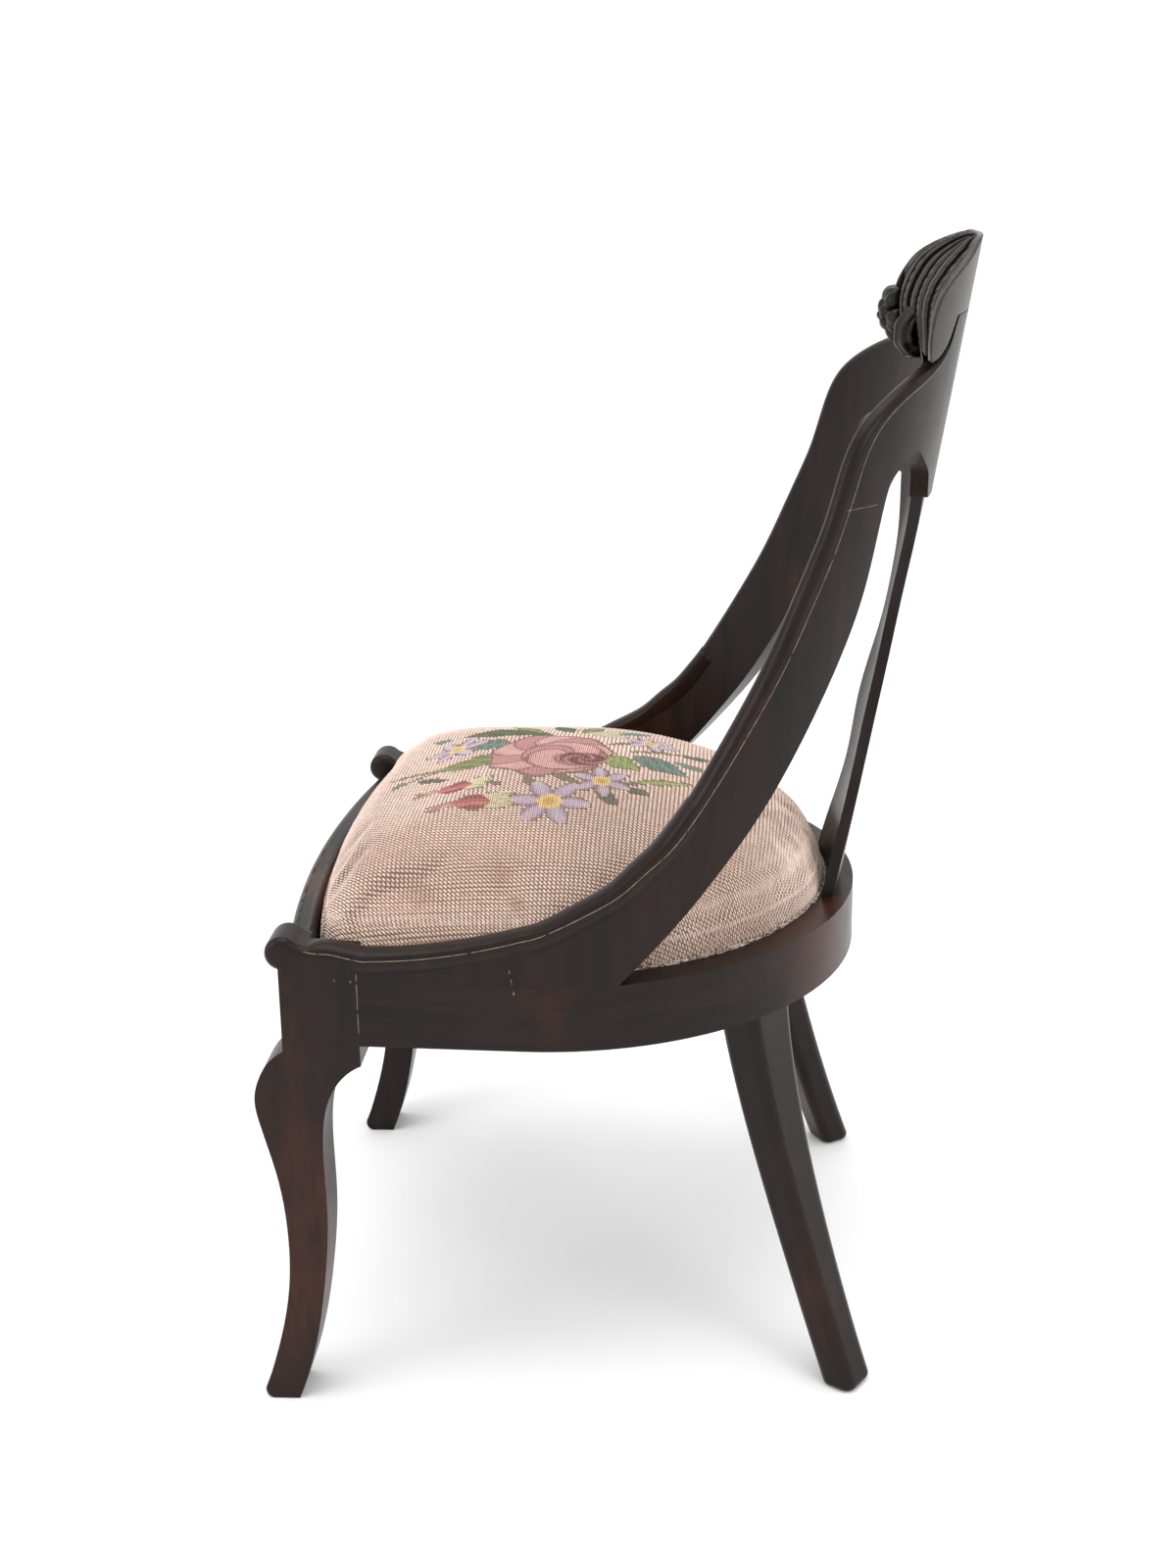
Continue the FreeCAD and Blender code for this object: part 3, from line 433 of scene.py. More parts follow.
def cushion_rings(inset, steps):
    """Rings of the crowned seat from its lower edge to its top, each an array of XYZ."""
    rises, sides, fronts = zip(*CROWN_OF_SEAT)
    rings = []
    spring = RAIL_TOP + rises[0] * SEAT_CROWN
    for z in np.linspace(RABBET_FLOOR + 1.0, spring, 8)[:-1]:
        ring = seat_ring(inset, inset)
        rings.append(np.column_stack([ring, np.full(len(ring), z)]))
    for t in np.linspace(0.0, 1.0, steps):
        margin = inset + curve_through(sides, t) * CROWN_DRAW_IN
        front = inset + curve_through(fronts, t) * CROWN_DRAW_IN
        ring = seat_ring(margin, front)
        z = RAIL_TOP + curve_through(rises, t) * (SEAT_CROWN - inset)
        rings.append(np.column_stack([ring, np.full(len(ring), z)]))
    last = rings[-1]
    centre = last.mean(axis=0)
    for share, lift in ((0.66, 0.7), (0.33, 1.1)):
        ring = centre + (last - centre) * share
        ring[:, 2] += lift
        rings.append(ring)
    return rings, centre + np.array([0.0, 0.0, 1.2])


def closed_cushion(inset):
    rings, top = cushion_rings(inset, 34)
    points = np.concatenate(rings)
    count = len(rings[0])
    faces = ring_faces(len(rings), count)
    bottom = len(points)
    middle = np.array([0.0, CUSHION_CENTRE_Y, rings[0][0][2]])
    points = np.concatenate([points, [middle], [top]])
    base = (len(rings) - 1) * count
    for c in range(count):
        d = (c + 1) % count
        faces.append((d, c, bottom))
        faces.append((base + c, base + d, bottom + 1))
    return points, faces


def stuffed_cushion():
    """The seat's stuffing and cover: started a little small and blown up against its cover."""
    points, faces = closed_cushion(START_INSET)
    obj = mesh_object("seat_cushion", to_scene(points), faces, canvas_back, "slip_seat")
    remesh(obj, 0.0045)
    rest = coordinates(obj.data)
    held = obj.vertex_groups.new(name="held")
    low = (RAIL_TOP + 6.0) / 1000.0
    held.add([int(i) for i in np.nonzero(rest[:, 2] < low)[0]], 1.0, "REPLACE")
    cloth = obj.modifiers.new("cloth", "CLOTH")
    cloth.settings.use_pressure = True
    cloth.settings.uniform_pressure_force = 4.0
    cloth.settings.vertex_group_mass = "held"
    cloth.settings.effector_weights.gravity = 0.0
    cloth.settings.tension_stiffness = 25.0
    cloth.settings.compression_stiffness = 25.0
    cloth.settings.quality = 6
    cloth.point_cache.frame_start = 1
    cloth.point_cache.frame_end = 20
    scene = bpy.context.scene
    for f in range(1, 21):
        scene.frame_set(f)
    apply_modifiers(obj)
    scene.frame_set(1)
    moved = coordinates(obj.data) - rest
    length = np.linalg.norm(moved, axis=1)
    cap = MOVE_CAP / 1000.0
    moved *= (np.minimum(length, cap) / np.maximum(length, 1e-9))[:, None]
    put_back(obj.data, rest + moved)
    soften = obj.modifiers.new("soften", "SMOOTH")
    soften.factor = 0.5
    soften.iterations = 6
    finer = obj.modifiers.new("finer", "SUBSURF")
    finer.levels = 1
    finer.render_levels = 1
    apply_modifiers(obj)
    obj.data.shade_smooth()
    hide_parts("seat_cover", "seat_stuffing")
    return obj


# Needlework: every stitch is a small slanted loaf of wool on the canvas


class Canvas:
    """Flat canvas places, in millimetres from the seat's middle, laid over the crown by length along it."""

    def __init__(self):
        rings, top = cushion_rings(0.0, 60)
        self.centre = np.array([0.0, CUSHION_CENTRE_Y])
        turns = np.linspace(0.0, 2.0 * math.pi, 361)[:-1]
        radii, heights = [np.zeros(360)], [np.full(360, top[2])]
        for ring in reversed(rings):
            flat = ring[:, :2] - self.centre
            angle = np.arctan2(flat[:, 1], flat[:, 0]) % (2.0 * math.pi)
            order = np.argsort(angle)
            far = np.hypot(flat[:, 0], flat[:, 1])
            radii.append(np.interp(turns, angle[order], far[order], period=2.0 * math.pi))
            heights.append(np.full(360, ring[0, 2]))
        radii, heights = np.array(radii), np.array(heights)
        steps = np.hypot(np.diff(radii, axis=0), np.diff(heights, axis=0))
        lengths = np.concatenate([np.zeros((1, 360)), np.cumsum(steps, axis=0)])
        self.grid = np.arange(0.0, 330.0, 1.0)
        self.radius = np.array([np.interp(self.grid, lengths[:, k], radii[:, k]) for k in range(360)])
        self.height = np.array([np.interp(self.grid, lengths[:, k], heights[:, k]) for k in range(360)])
        self.limit = lengths[-1]

    def place(self, u, v):
        """Drawing-frame point of a canvas place, and how far it lies inside the canvas edge."""
        far = np.hypot(u, v)
        turn = np.degrees(np.arctan2(v, u)) % 360.0
        k = np.floor(turn).astype(int) % 360
        n = (k + 1) % 360
        f = turn - np.floor(turn)
        i = np.minimum(far.astype(int), len(self.grid) - 2)
        g = np.clip(far - i, 0.0, 1.0)

        def read(table):
            low = table[k, i] * (1 - g) + table[k, i + 1] * g
            high = table[n, i] * (1 - g) + table[n, i + 1] * g
            return low * (1 - f) + high * f

        r, z = read(self.radius), read(self.height)
        angle = np.radians(turn)
        inside = self.limit[k] * (1 - f) + self.limit[n] * f - far
        return np.column_stack([r * np.cos(angle), self.centre[1] + r * np.sin(angle), z]), inside


GROUND = np.array([0.62, 0.455, 0.375])
GROUND_PALE = np.array([0.70, 0.54, 0.455])
STAIN = np.array([0.30, 0.18, 0.10])
# Stained spots on the canvas: place, size and strength
SPOTS = [(196.0, -89.0, 7.0, 0.5), (191.0, -99.0, 5.0, 0.35), (182.0, -29.0, 5.0, 0.6),
         (206.0, -16.0, 5.0, 0.6), (178.0, -34.0, 16.0, 0.2), (150.0, -60.0, 30.0, 0.1)]


def ground_colour(u, v):
    """Beige-pink ground with faded bands and a few faint stains."""
    drift = (0.5 + 0.25 * np.sin(u / 31.0 + 1.3 * np.sin(v / 47.0)) + 0.25 * np.sin(v / 23.0 - u / 61.0))
    colour = GROUND + (GROUND_PALE - GROUND) * drift[:, None]
    for cu, cv, size, strength in SPOTS:
        near = strength * np.exp(-((u - cu) ** 2 + (v - cv) ** 2) / (2.0 * size ** 2))
        colour += (STAIN - colour) * near[:, None]
    return colour


def leaf_mask(u, v, root, tip, width):
    """How far inside a pointed leaf, and how far along and across it."""
    axis = np.array([tip[0] - root[0], tip[1] - root[1]])
    length = math.hypot(*axis)
    axis = axis / length
    along = ((u - root[0]) * axis[0] + (v - root[1]) * axis[1]) / length
    across = -(u - root[0]) * axis[1] + (v - root[1]) * axis[0]
    half = width * np.sin(math.pi * np.clip(along, 0.0, 1.0) ** 0.8)
    return np.where((along > 0) & (along < 1), half - np.abs(across), -1.0), along, across


def bouquet(u, v):
    """Colour and cover of the bouquet at canvas places; cover is false off the bouquet."""
    colour = np.zeros((len(u), 3))
    cover = np.zeros(len(u), bool)

    def paint(mask, shade):
        inside = mask > 0
        colour[inside] = np.broadcast_to(shade, (len(u), 3))[inside]
        cover[inside] = True

    for root, tip, width, base, vein in LEAVES:
        mask, along, across = leaf_mask(u, v, root, tip, width)
        notches = 1.2 * (np.sin(along * 34.0) > 0.3) * (np.abs(across) > 0.5 * width)
        tone = np.where(np.abs(across) < 1.1, 1.0, 0.15 + 0.5 * (np.sin(along * 24.0 + across * 0.55) > 0.25))
        paint(mask - notches, mix(base, vein, tone))
    for root, tip, width in STEMS:
        paint(leaf_mask(u, v, root, tip, width)[0], np.array(STEM_GREEN))
    for centre, size, count, turn in STARS:
        star(u, v, paint, centre, size, count, turn)
    for bulb, sepal, tail in FUCHSIAS:
        fuchsia(u, v, paint, np.array(bulb), np.array(sepal), np.array(tail))
    rose(u, v, paint)
    return colour, cover


def mix(a, b, share):
    a, b = np.array(a), np.array(b)
    return a + (b - a) * np.asarray(share)[:, None]


def star(u, v, paint, centre, size, count, turn):
    """An open flower: pointed petals with darker edges round a yellow cup."""
    du, dv = u - centre[0], v - centre[1]
    far = np.hypot(du, dv) / size
    wedge = (np.arctan2(dv, du) * count / (2.0 * math.pi) + turn) % 1.0 - 0.5
    across = np.abs(wedge) * 2.0
    edge = np.clip(0.74 * np.sin(math.pi * np.clip(far, 0.0, 1.0) ** 0.75) + 0.12, 0.0, 1.0)
    rim = smoothstep(0.45, 1.0, across / np.maximum(edge, 0.05))
    shade = mix((0.50, 0.42, 0.53), (0.29, 0.21, 0.33), rim)
    pale = 0.6 * smoothstep(0.35, 0.9, far) * (across < 0.25)
    shade = shade + (np.array((0.60, 0.52, 0.52)) - shade) * pale[:, None]
    paint(np.where(far < 1.0, edge - across, -1.0), shade)
    cup = 0.31 * size * (1.0 + 0.10 * np.cos(8.0 * np.arctan2(dv, du))) - far * size
    paint(cup, mix((0.62, 0.36, 0.07), (0.80, 0.60, 0.20), smoothstep(0.10, 0.22, far)))


def fuchsia(u, v, paint, bulb, sepal, tail):
    """A hanging bud: crimson bulb, cream sepals on one side and fine stamens on the other."""
    side = np.array([-(tail - bulb)[1], (tail - bulb)[0]]) / np.linalg.norm(tail - bulb)
    for spread in (-9.0, 0.0, 9.0):
        mask, along, across = leaf_mask(u, v, bulb, sepal + side * spread, 7.0)
        paint(mask, mix((0.66, 0.60, 0.38), (0.46, 0.44, 0.24), np.abs(across) < 1.0))
    for spread in (-5.0, 0.0, 5.0):
        paint(leaf_mask(u, v, bulb, tail + side * spread, 1.5)[0], np.array((0.56, 0.30, 0.24)))
    back = bulb + (bulb - tail) * 0.32
    front = bulb + (tail - bulb) * 0.48
    mask, along, across = leaf_mask(u, v, back, front, 10.5)
    paint(mask, mix((0.44, 0.07, 0.085), (0.22, 0.015, 0.03), np.abs(across) > 5.0))
    paint(np.where(np.abs(across - 2.0) < 1.6, mask, -1.0), np.array((0.58, 0.20, 0.18)))


def rose(u, v, paint):
    """A cabbage rose seen from one side: ruffled outer petals, a wrapped cup and a deep heart."""
    (cu, cv), size = ROSE
    pale, pink, deep, dark = ROSE_TONES
    du, dv = (u - cu) / size, (v - cv) / size
    far, angle = np.hypot(du, dv), np.arctan2(dv, du)
    ruffle = 1.0 - 0.09 * np.abs(np.sin(3.5 * angle + 0.6)) - far
    fold = np.sin(5.0 * angle + 5.5 * far + 0.8)
    shade = mix(pink, pale, smoothstep(-0.3, 0.95, fold))
    shade = np.where(((np.abs(fold) < 0.15) | (ruffle < 0.035))[:, None], np.array(deep), shade)
    paint(ruffle, shade)
    cup_u, cup_v = du - 0.16, dv - 0.24
    cup, turn = np.hypot(cup_u, 0.9 * cup_v), np.arctan2(cup_v, cup_u)
    wrap = np.sin(2.0 * turn - 9.0 * cup + 0.5)
    shade = mix(pink, pale, smoothstep(-0.7, 0.6, wrap))
    shade = np.where(((np.abs(wrap + 0.55) < 0.16) | (cup > 0.56))[:, None], np.array(deep), shade)
    paint(0.60 - cup, shade)
    heart_u, heart_v = du - 0.30, dv - 0.54
    heart, turn = np.hypot(1.25 * heart_u, 0.85 * heart_v), np.arctan2(heart_v, heart_u)
    swirl = np.sin(3.0 * turn - 30.0 * heart)
    shade = mix(dark, deep, smoothstep(-0.2, 0.7, swirl))
    shade = np.where((swirl > 0.82)[:, None], np.array(pink), shade)
    paint(0.31 - heart, shade)


GREEN, PALE_GREEN, STEM_GREEN = (0.085, 0.135, 0.045), (0.27, 0.30, 0.10), (0.12, 0.15, 0.07)
DEEP_GREEN, TEAL, PALE_TEAL = (0.03, 0.06, 0.035), (0.045, 0.12, 0.105), (0.15, 0.26, 0.21)
BRIGHT, STRAW = (0.13, 0.25, 0.06), (0.36, 0.40, 0.13)
CREAM, OLIVE = (0.62, 0.56, 0.40), (0.46, 0.42, 0.24)
ROSE_TONES = ((0.62, 0.37, 0.33), (0.47, 0.225, 0.215), (0.255, 0.085, 0.095), (0.12, 0.022, 0.035))
ROSE = ((5.0, -7.0), 53.0)
# Canvas places of the bouquet: +u is the sitter's left, +v is towards the back of the chair
LEAVES = [((10.0, -36.0), (-2.0, -107.0), 15.0, GREEN, PALE_GREEN),
          ((-48.0, -10.0), (-90.0, -90.0), 13.0, DEEP_GREEN, GREEN),
          ((-26.0, -46.0), (-53.0, -80.0), 12.0, TEAL, PALE_TEAL),
          ((13.0, 40.0), (33.0, 68.0), 12.0, BRIGHT, STRAW),
          ((4.0, 62.0), (26.0, 108.0), 14.0, TEAL, PALE_TEAL),
          ((55.0, 70.0), (40.0, 112.0), 4.5, BRIGHT, STRAW),
          ((76.0, 38.0), (96.0, 54.0), 6.5, DEEP_GREEN, TEAL),
          ((69.0, 59.0), (72.0, 78.0), 5.0, DEEP_GREEN, TEAL),
          ((-23.0, 102.0), (-30.0, 129.0), 5.0, DEEP_GREEN, TEAL),
          ((1.0, 96.0), (3.0, 124.0), 5.0, TEAL, PALE_TEAL),
          ((-60.0, -20.0), (-112.0, -52.0), 8.0, GREEN, PALE_GREEN),
          ((-62.0, 6.0), (-118.0, -12.0), 9.0, DEEP_GREEN, GREEN),
          ((-58.0, 18.0), (-112.0, 28.0), 9.0, GREEN, PALE_GREEN),
          ((-66.0, 44.0), (-102.0, 74.0), 9.0, TEAL, PALE_TEAL),
          ((12.0, -118.0), (36.0, -88.0), 4.5, DEEP_GREEN, TEAL),
          ((2.0, -132.0), (14.0, -142.0), 4.5, TEAL, PALE_TEAL),
          ((-92.0, -104.0), (-104.0, -120.0), 5.0, TEAL, PALE_TEAL),
          ((-58.0, 20.0), (-76.0, 50.0), 9.0, OLIVE, CREAM),
          ((-54.0, 26.0), (-58.0, 56.0), 8.0, CREAM, OLIVE)]
STEMS = [((-2.0, -100.0), (-18.0, -152.0), 1.6), ((0.0, -104.0), (10.0, -140.0), 1.6),
         ((56.0, -24.0), (86.0, -4.0), 3.0), ((50.0, 0.0), (70.0, 22.0), 3.0),
         ((-20.0, 40.0), (-40.0, 66.0), 2.0), ((62.0, 52.0), (56.0, 76.0), 1.8),
         ((70.0, -40.0), (62.0, -62.0), 1.8), ((-8.0, 60.0), (-26.0, 104.0), 1.6)]
STARS = [((96.0, 1.0), 33.0, 6, 0.1), ((61.0, 40.0), 24.0, 6, 0.35), ((-44.0, 74.0), 24.0, 6, 0.2),
         ((-53.0, -92.0), 28.0, 6, 0.0)]
FUCHSIAS = [((61.0, -76.0), (63.0, -48.0), (55.0, -116.0)), ((97.0, -58.0), (91.0, -27.0), (100.0, -98.0))]


def stitch_places(pitch, inside_of):
    span = np.arange(-290.0, 290.0, pitch)
    u, v = (a.ravel() for a in np.meshgrid(span, span))
    keep = inside_of(u, v)
    return u[keep], v[keep]


def needlework(cushion):
    canvas = Canvas()
    graph_mesh = cushion.data
    tree = mesh_tree(graph_mesh)
    points, faces, colours = [], [], []
    rows = ((CANVAS_PITCH, False), (PETIT_PITCH, True))
    for pitch, petit in rows:
        u, v = stitch_places(pitch, lambda a, b: np.hypot(a, b) < 300.0)
        painted_at, cover = bouquet(u, v)
        if petit:
            u, v, shade = u[cover], v[cover], painted_at[cover]
        else:
            corner = 0.3 * pitch
            clear = ~cover
            for du in (-corner, corner):
                for dv in (-corner, corner):
                    clear &= ~bouquet(u + du, v + dv)[1]
            u, v = u[clear], v[clear]
            shade = ground_colour(u, v)
        centre, inside = canvas.place(u, v)
        keep = (centre[:, 2] > STITCH_EDGE) & (inside > 1.0)
        u, v, shade, centre = u[keep], v[keep], shade[keep], centre[keep]
        step = 0.4 * pitch
        du = (canvas.place(u + step, v)[0] - canvas.place(u - step, v)[0]) / (2.0 * step)
        dv = (canvas.place(u, v + step)[0] - canvas.place(u, v - step)[0]) / (2.0 * step)
        up = np.cross(du, dv)
        up /= np.linalg.norm(up, axis=1)[:, None]
        centre_m, up_m = to_scene(centre), up
        lift = np.zeros(len(u))
        for i in range(len(u)):
            start = Vector(centre_m[i]) + Vector(up_m[i]) * 0.02
            hit = tree.ray_cast(start, -Vector(up_m[i]), 0.05)
            lift[i] = (20.0 - 1000.0 * hit[3]) if hit[0] is not None else 0.0
        jitter = np.random.uniform(-1.0, 1.0, (len(u), 4))
        long_way = (du + dv) * (0.5 + 0.03 * jitter[:, :1]) * 1.02
        wide_way = (du - dv) * (0.5 + 0.05 * jitter[:, 1:2]) * 0.60
        rise = STITCH_RISE * (pitch / CANVAS_PITCH) ** 0.6 * (1.0 + 0.18 * jitter[:, 2:3])
        seat = centre + up * lift[:, None]
        shape = ((-1.0, 0.0, -0.25), (-0.45, -1.0, 0.0), (-0.45, 0.0, 1.0), (-0.45, 1.0, 0.0),
                 (0.45, -1.0, 0.0), (0.45, 0.0, 1.0), (0.45, 1.0, 0.0), (1.0, 0.0, -0.25))
        first = sum(len(p) for p in points)
        block = np.stack([seat + long_way * (a * pitch) + wide_way * (b * pitch * 0.5) + up * (c * rise)
                          for a, b, c in shape], axis=1)
        points.append(block.reshape(-1, 3))
        base = first + 8 * np.arange(len(u))
        for a in ((0, 1, 2), (0, 2, 3), (1, 4, 5, 2), (2, 5, 6, 3), (4, 7, 5), (5, 7, 6)):
            faces.extend(np.stack([base + k for k in a], axis=1).tolist())
        tone = np.clip(shade * (1.0 + 0.10 * jitter[:, 3:4]), 0.0, 1.0)
        colours.append(np.repeat(tone, 8, axis=0))
    obj = mesh_object("needlework", to_scene(np.concatenate(points)), faces, wool, "slip_seat")
    shades = np.concatenate(colours)
    layer = obj.data.color_attributes.new("thread", "FLOAT_COLOR", "POINT")
    layer.data.foreach_set("color", np.column_stack([shades, np.ones(len(shades))]).ravel())
    return obj


# Crown carving: the block is cut with leaf ribs, a flower and two curled buds


def carve(points, around):
    """Depth of cut, in millimetres, at points of the crown, and how deep each lies in the carved grooves,
    which sets their painted shade.
    """
    x, y, z = points[:, 0], points[:, 1], points[:, 2]
    lean = (z - RAIL_TOP) * RAKE
    inset = SEAT_RADIUS - np.hypot(x, y - lean)
    height = z - RAIL_TOP - CROWN_JOINT
    share = np.where(height > 0, height / CROWN_HEIGHT, height / EAR_DROP)
    half = np.interp(share, *zip(*CROWN_WIDTHS))
    front = smoothstep(3.5, 8.0, inset) * smoothstep(0.95, 0.6, around[:, 1])
    strand = np.abs(x) / half + 0.055 * np.sin(2.8 * share) - 0.0022 * (inset - 30.0)
    flower = np.hypot(x, height - FLOWER_SHARE * EAR_DROP)
    bud = np.hypot(np.abs(x) - BUD_SPREAD, height - BUD_SHARE * EAR_DROP)
    hollow = np.maximum(smoothstep(FLOWER_HOLLOW, FLOWER_HOLLOW - 9.0, flower),
                        smoothstep(BUD_HOLLOW, BUD_HOLLOW - 8.0, bud))
    ribs = np.abs(np.sin(math.pi * LEAF_RIBS * strand))
    valley = (1.0 - ribs) ** 2.2
    fine = (1.0 - np.abs(np.sin(3.0 * math.pi * LEAF_RIBS * strand + 0.8 * share))) ** 2.0
    hatch = (1.0 - np.abs(np.sin(0.5 * z + 0.35 * inset + 7.0 * strand))) ** 2.0 * smoothstep(0.3, 0.7, ribs)
    hatch *= smoothstep(0.1, 0.5, np.sin(math.pi * LEAF_RIBS * strand + 1.1))
    overlap = 1.8 * smoothstep(0.46, 0.49, strand) - 1.4 * smoothstep(0.74, 0.77, strand)
    depth = front * ((CARVE_DEPTH * valley + 0.7 * fine + 0.35 * hatch + overlap) * (1.0 - 0.7 * hollow)
                     + HOLLOW_DEPTH * hollow)
    groove_shade = np.clip(front * (1.1 * valley + 0.5 * fine + 0.25 * hatch + 0.45 * hollow), 0.0, 1.0)
    return depth, groove_shade


def carved_crown():
    source = nodes["crest_carving"]
    obj = bpy.data.objects.new("carved_crown", source.data.copy())
    in_scene(obj)
    work = bmesh.new()
    work.from_mesh(obj.data)
    bmesh.ops.remove_doubles(work, verts=work.verts, dist=1e-5)
    work.to_mesh(obj.data)
    work.free()
    remesh(obj, CARVE_VOXEL / 1000.0)
    co = coordinates(obj.data)
    no = normals(obj.data)
    drawing = co * 1000.0 + np.array([0.0, ORIGIN_SHIFT, 0.0])
    depth, groove_shade = carve(drawing, no)
    put_back(obj.data, co - no * (depth / 1000.0)[:, None])
    # Painted shade: the shade amount is stored on the mesh, and the leaf material darkens the grooves by it.
    layer = obj.data.color_attributes.new("groove_shade", "FLOAT_COLOR", "POINT")
    layer.data.foreach_set("color", np.column_stack([groove_shade] * 3 + [np.ones(len(groove_shade))]).ravel())
    obj.data.materials.clear()
    obj.data.materials.append(groove_shaded_leaf_wood)
    obj.data.shade_smooth()
    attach(obj, "chair_frame")
    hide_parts("crest_carving")
    return obj


def crown_front(share, depth):
    """Middle of the crown's front at a share of its height, as the part draws it."""
    height = CROWN_JOINT + share * (CROWN_HEIGHT if share > 0 else EAR_DROP)
    return np.array([0.0, SEAT_RADIUS - depth * CROWN_DEPTH + height * RAKE, RAIL_TOP + height])


def lobe(centre, out, up, size, crease, rows=14, columns=22):
    """One fleshy petal: a flattened bulb with a cleft along its middle and a turned-up rim."""
    out, up = out / np.linalg.norm(out), up - out * np.dot(up, out) / np.dot(out, out)
    up = up / np.linalg.norm(up)
    across = np.cross(up, out)
    points = []
    for t in np.linspace(0.06, math.pi - 0.06, rows):
        for a in np.linspace(0.0, 2.0 * math.pi, columns + 1)[:-1]:
            x, y, z = math.sin(t) * math.cos(a), math.sin(t) * math.sin(a), math.cos(t)
            dent = 1.0 - crease * math.exp(-(x / 0.22) ** 2) * max(y, 0.0)
            rim = 1.0 + 0.10 * math.cos(5.0 * math.atan2(x, z + 1e-6)) * (1.0 - abs(y))
            points.append(centre + across * (x * size[0] * rim) + out * (y * size[1] * dent)
                          + up * (z * size[2] * rim))
    faces = tube_faces(rows, columns)
    return np.array(points), faces


def joined(pieces):
    points, faces, first = [], [], 0
    for some, its_faces in pieces:
        points.append(some)
        faces.extend(tuple(i + first for i in f) for f in its_faces)
        first += len(some)
    return np.concatenate(points), faces


# Rings of petals: count, reach, how far ahead, size of a petal and turn of the ring
PETALS = [(5, 14.0, 13.0, (10.2, 8.4, 10.2), 0.31), (5, 7.0, 19.5, (6.2, 5.6, 6.6), 0.94)]


def crown_flower():
    """The flower at the middle of the crown: two rings of petals round a button."""
    middle = crown_front(FLOWER_SHARE, 1.0) + np.array([0.0, FLOWER_RADIUS * 0.68, 0.0])
    out = np.array([0.0, -1.0, -0.12])
    out = out / np.linalg.norm(out)
    across, up = np.array([1.0, 0.0, 0.0]), np.cross(np.array([1.0, 0.0, 0.0]), out)
    pieces = []
    for count, far, ahead, size, turn in PETALS:
        for k in range(count):
            angle = turn + 2.0 * math.pi * k / count
            side = across * math.cos(angle) + up * math.sin(angle)
            face = out + side * 0.45
            pieces.append(lobe(middle + side * far + out * ahead, face, side, size, 0.30))
    pieces.append(lobe(middle + out * 22.5, out, up, (4.0, 4.0, 4.0), 0.0, 10, 14))
    points, faces = joined(pieces)
    return mesh_object("crown_flower", to_scene(points), faces, carved, "chair_frame")


def curled_bud(side):
    """A leaf tip rolled into a bud: a fluted scroll that winds in on itself."""
    front = crown_front(BUD_SHARE, 0.84)
    root = np.array([side * BUD_SPREAD, front[1] + 11.0, front[2] + 3.0])
    ahead = np.array([side * 0.30, -1.0, -0.10])
    ahead = ahead / np.linalg.norm(ahead)
    up = np.array([0.0, 0.0, 1.0])
    across = np.cross(up, ahead)
    rows, columns = 74, 26
    points = []
    for i in range(rows):
        t = i / (rows - 1.0)
        wind = math.radians(70.0 - 430.0 * t)
        arm = 15.5 * (1.0 - 0.80 * t)
        girth = 8.8 * (1.0 - 0.62 * t) * math.sin(math.pi * min(1.0, 0.16 + 0.9 * t)) ** 0.35
        centre = root + ahead * (arm * math.cos(wind)) + up * (arm * math.sin(wind))
        radial = ahead * math.cos(wind) + up * math.sin(wind)
        for c in range(columns):
            a = 2.0 * math.pi * c / columns
            flute = 1.0 + 0.13 * math.cos(7.0 * a + 5.0 * t) + 0.05 * math.cos(64.0 * t)
            points.append(centre + (radial * math.cos(a) + across * (1.55 * math.sin(a))) * (girth * flute))
    faces = tube_faces(rows, columns)
    name = "crown_bud_left" if side > 0 else "crown_bud_right"
    return mesh_object(name, to_scene(np.array(points)), faces, carved, "chair_frame")


# Old polish: the worn quirk below the rolled edge, the open joint lines and a few scratches


def shell_point(angle, forward, height, inset):
    """A point of the leaning horseshoe that the back is sawn from."""
    turn = math.radians(angle)
    reach = SEAT_RADIUS - inset
    x = reach * math.sin(turn) - forward * math.sin(SIDE_TAPER)
    y = reach * math.cos(turn) - forward * math.cos(SIDE_TAPER)
    return np.array([x, y + height * RAKE, RAIL_TOP + height])


def wire(points, outward, radius):
    """A fine bead along a line on a face, half sunk in it and broken off to a point at its ends."""
    points = np.asarray(points, float)
    ahead = np.gradient(points, axis=0)
    ahead /= np.linalg.norm(ahead, axis=1)[:, None]
    side = np.cross(outward, ahead)
    side /= np.linalg.norm(side, axis=1)[:, None]
    rows = []
    for i, p in enumerate(points):
        taper = min(1.0, 0.25 + 0.9 * min(i, len(points) - 1 - i))
        girth = radius * taper * random.uniform(0.75, 1.15)
        rows.append([p + side[i] * (girth * math.cos(a)) + outward[i] * (0.55 * girth * math.sin(a))
                     for a in np.linspace(0.0, 2.0 * math.pi, 7)[:-1]])
    return np.array(rows).reshape(-1, 3), tube_faces(len(rows), 6)


def resampled(points, step):
    points = np.asarray(points, float)
    length = np.concatenate([[0.0], np.cumsum(np.linalg.norm(np.diff(points, axis=0), axis=1))])
    at = np.arange(0.0, length[-1], step)
    return np.column_stack([np.interp(at, length, points[:, k]) for k in range(3)])


def broken(points, outward, radius, keep, longest):
    """The line as worn stretches of uneven length."""
    pieces = []
    i = 0
    while i < len(points) - 4:
        run = random.randint(longest // 4, longest)
        stop = min(len(points), i + run)
        if random.random() < keep and stop - i > 3:
            pieces.append(wire(points[i:stop], outward[i:stop], radius))
        i = stop + random.randint(-1, 1)
    return pieces


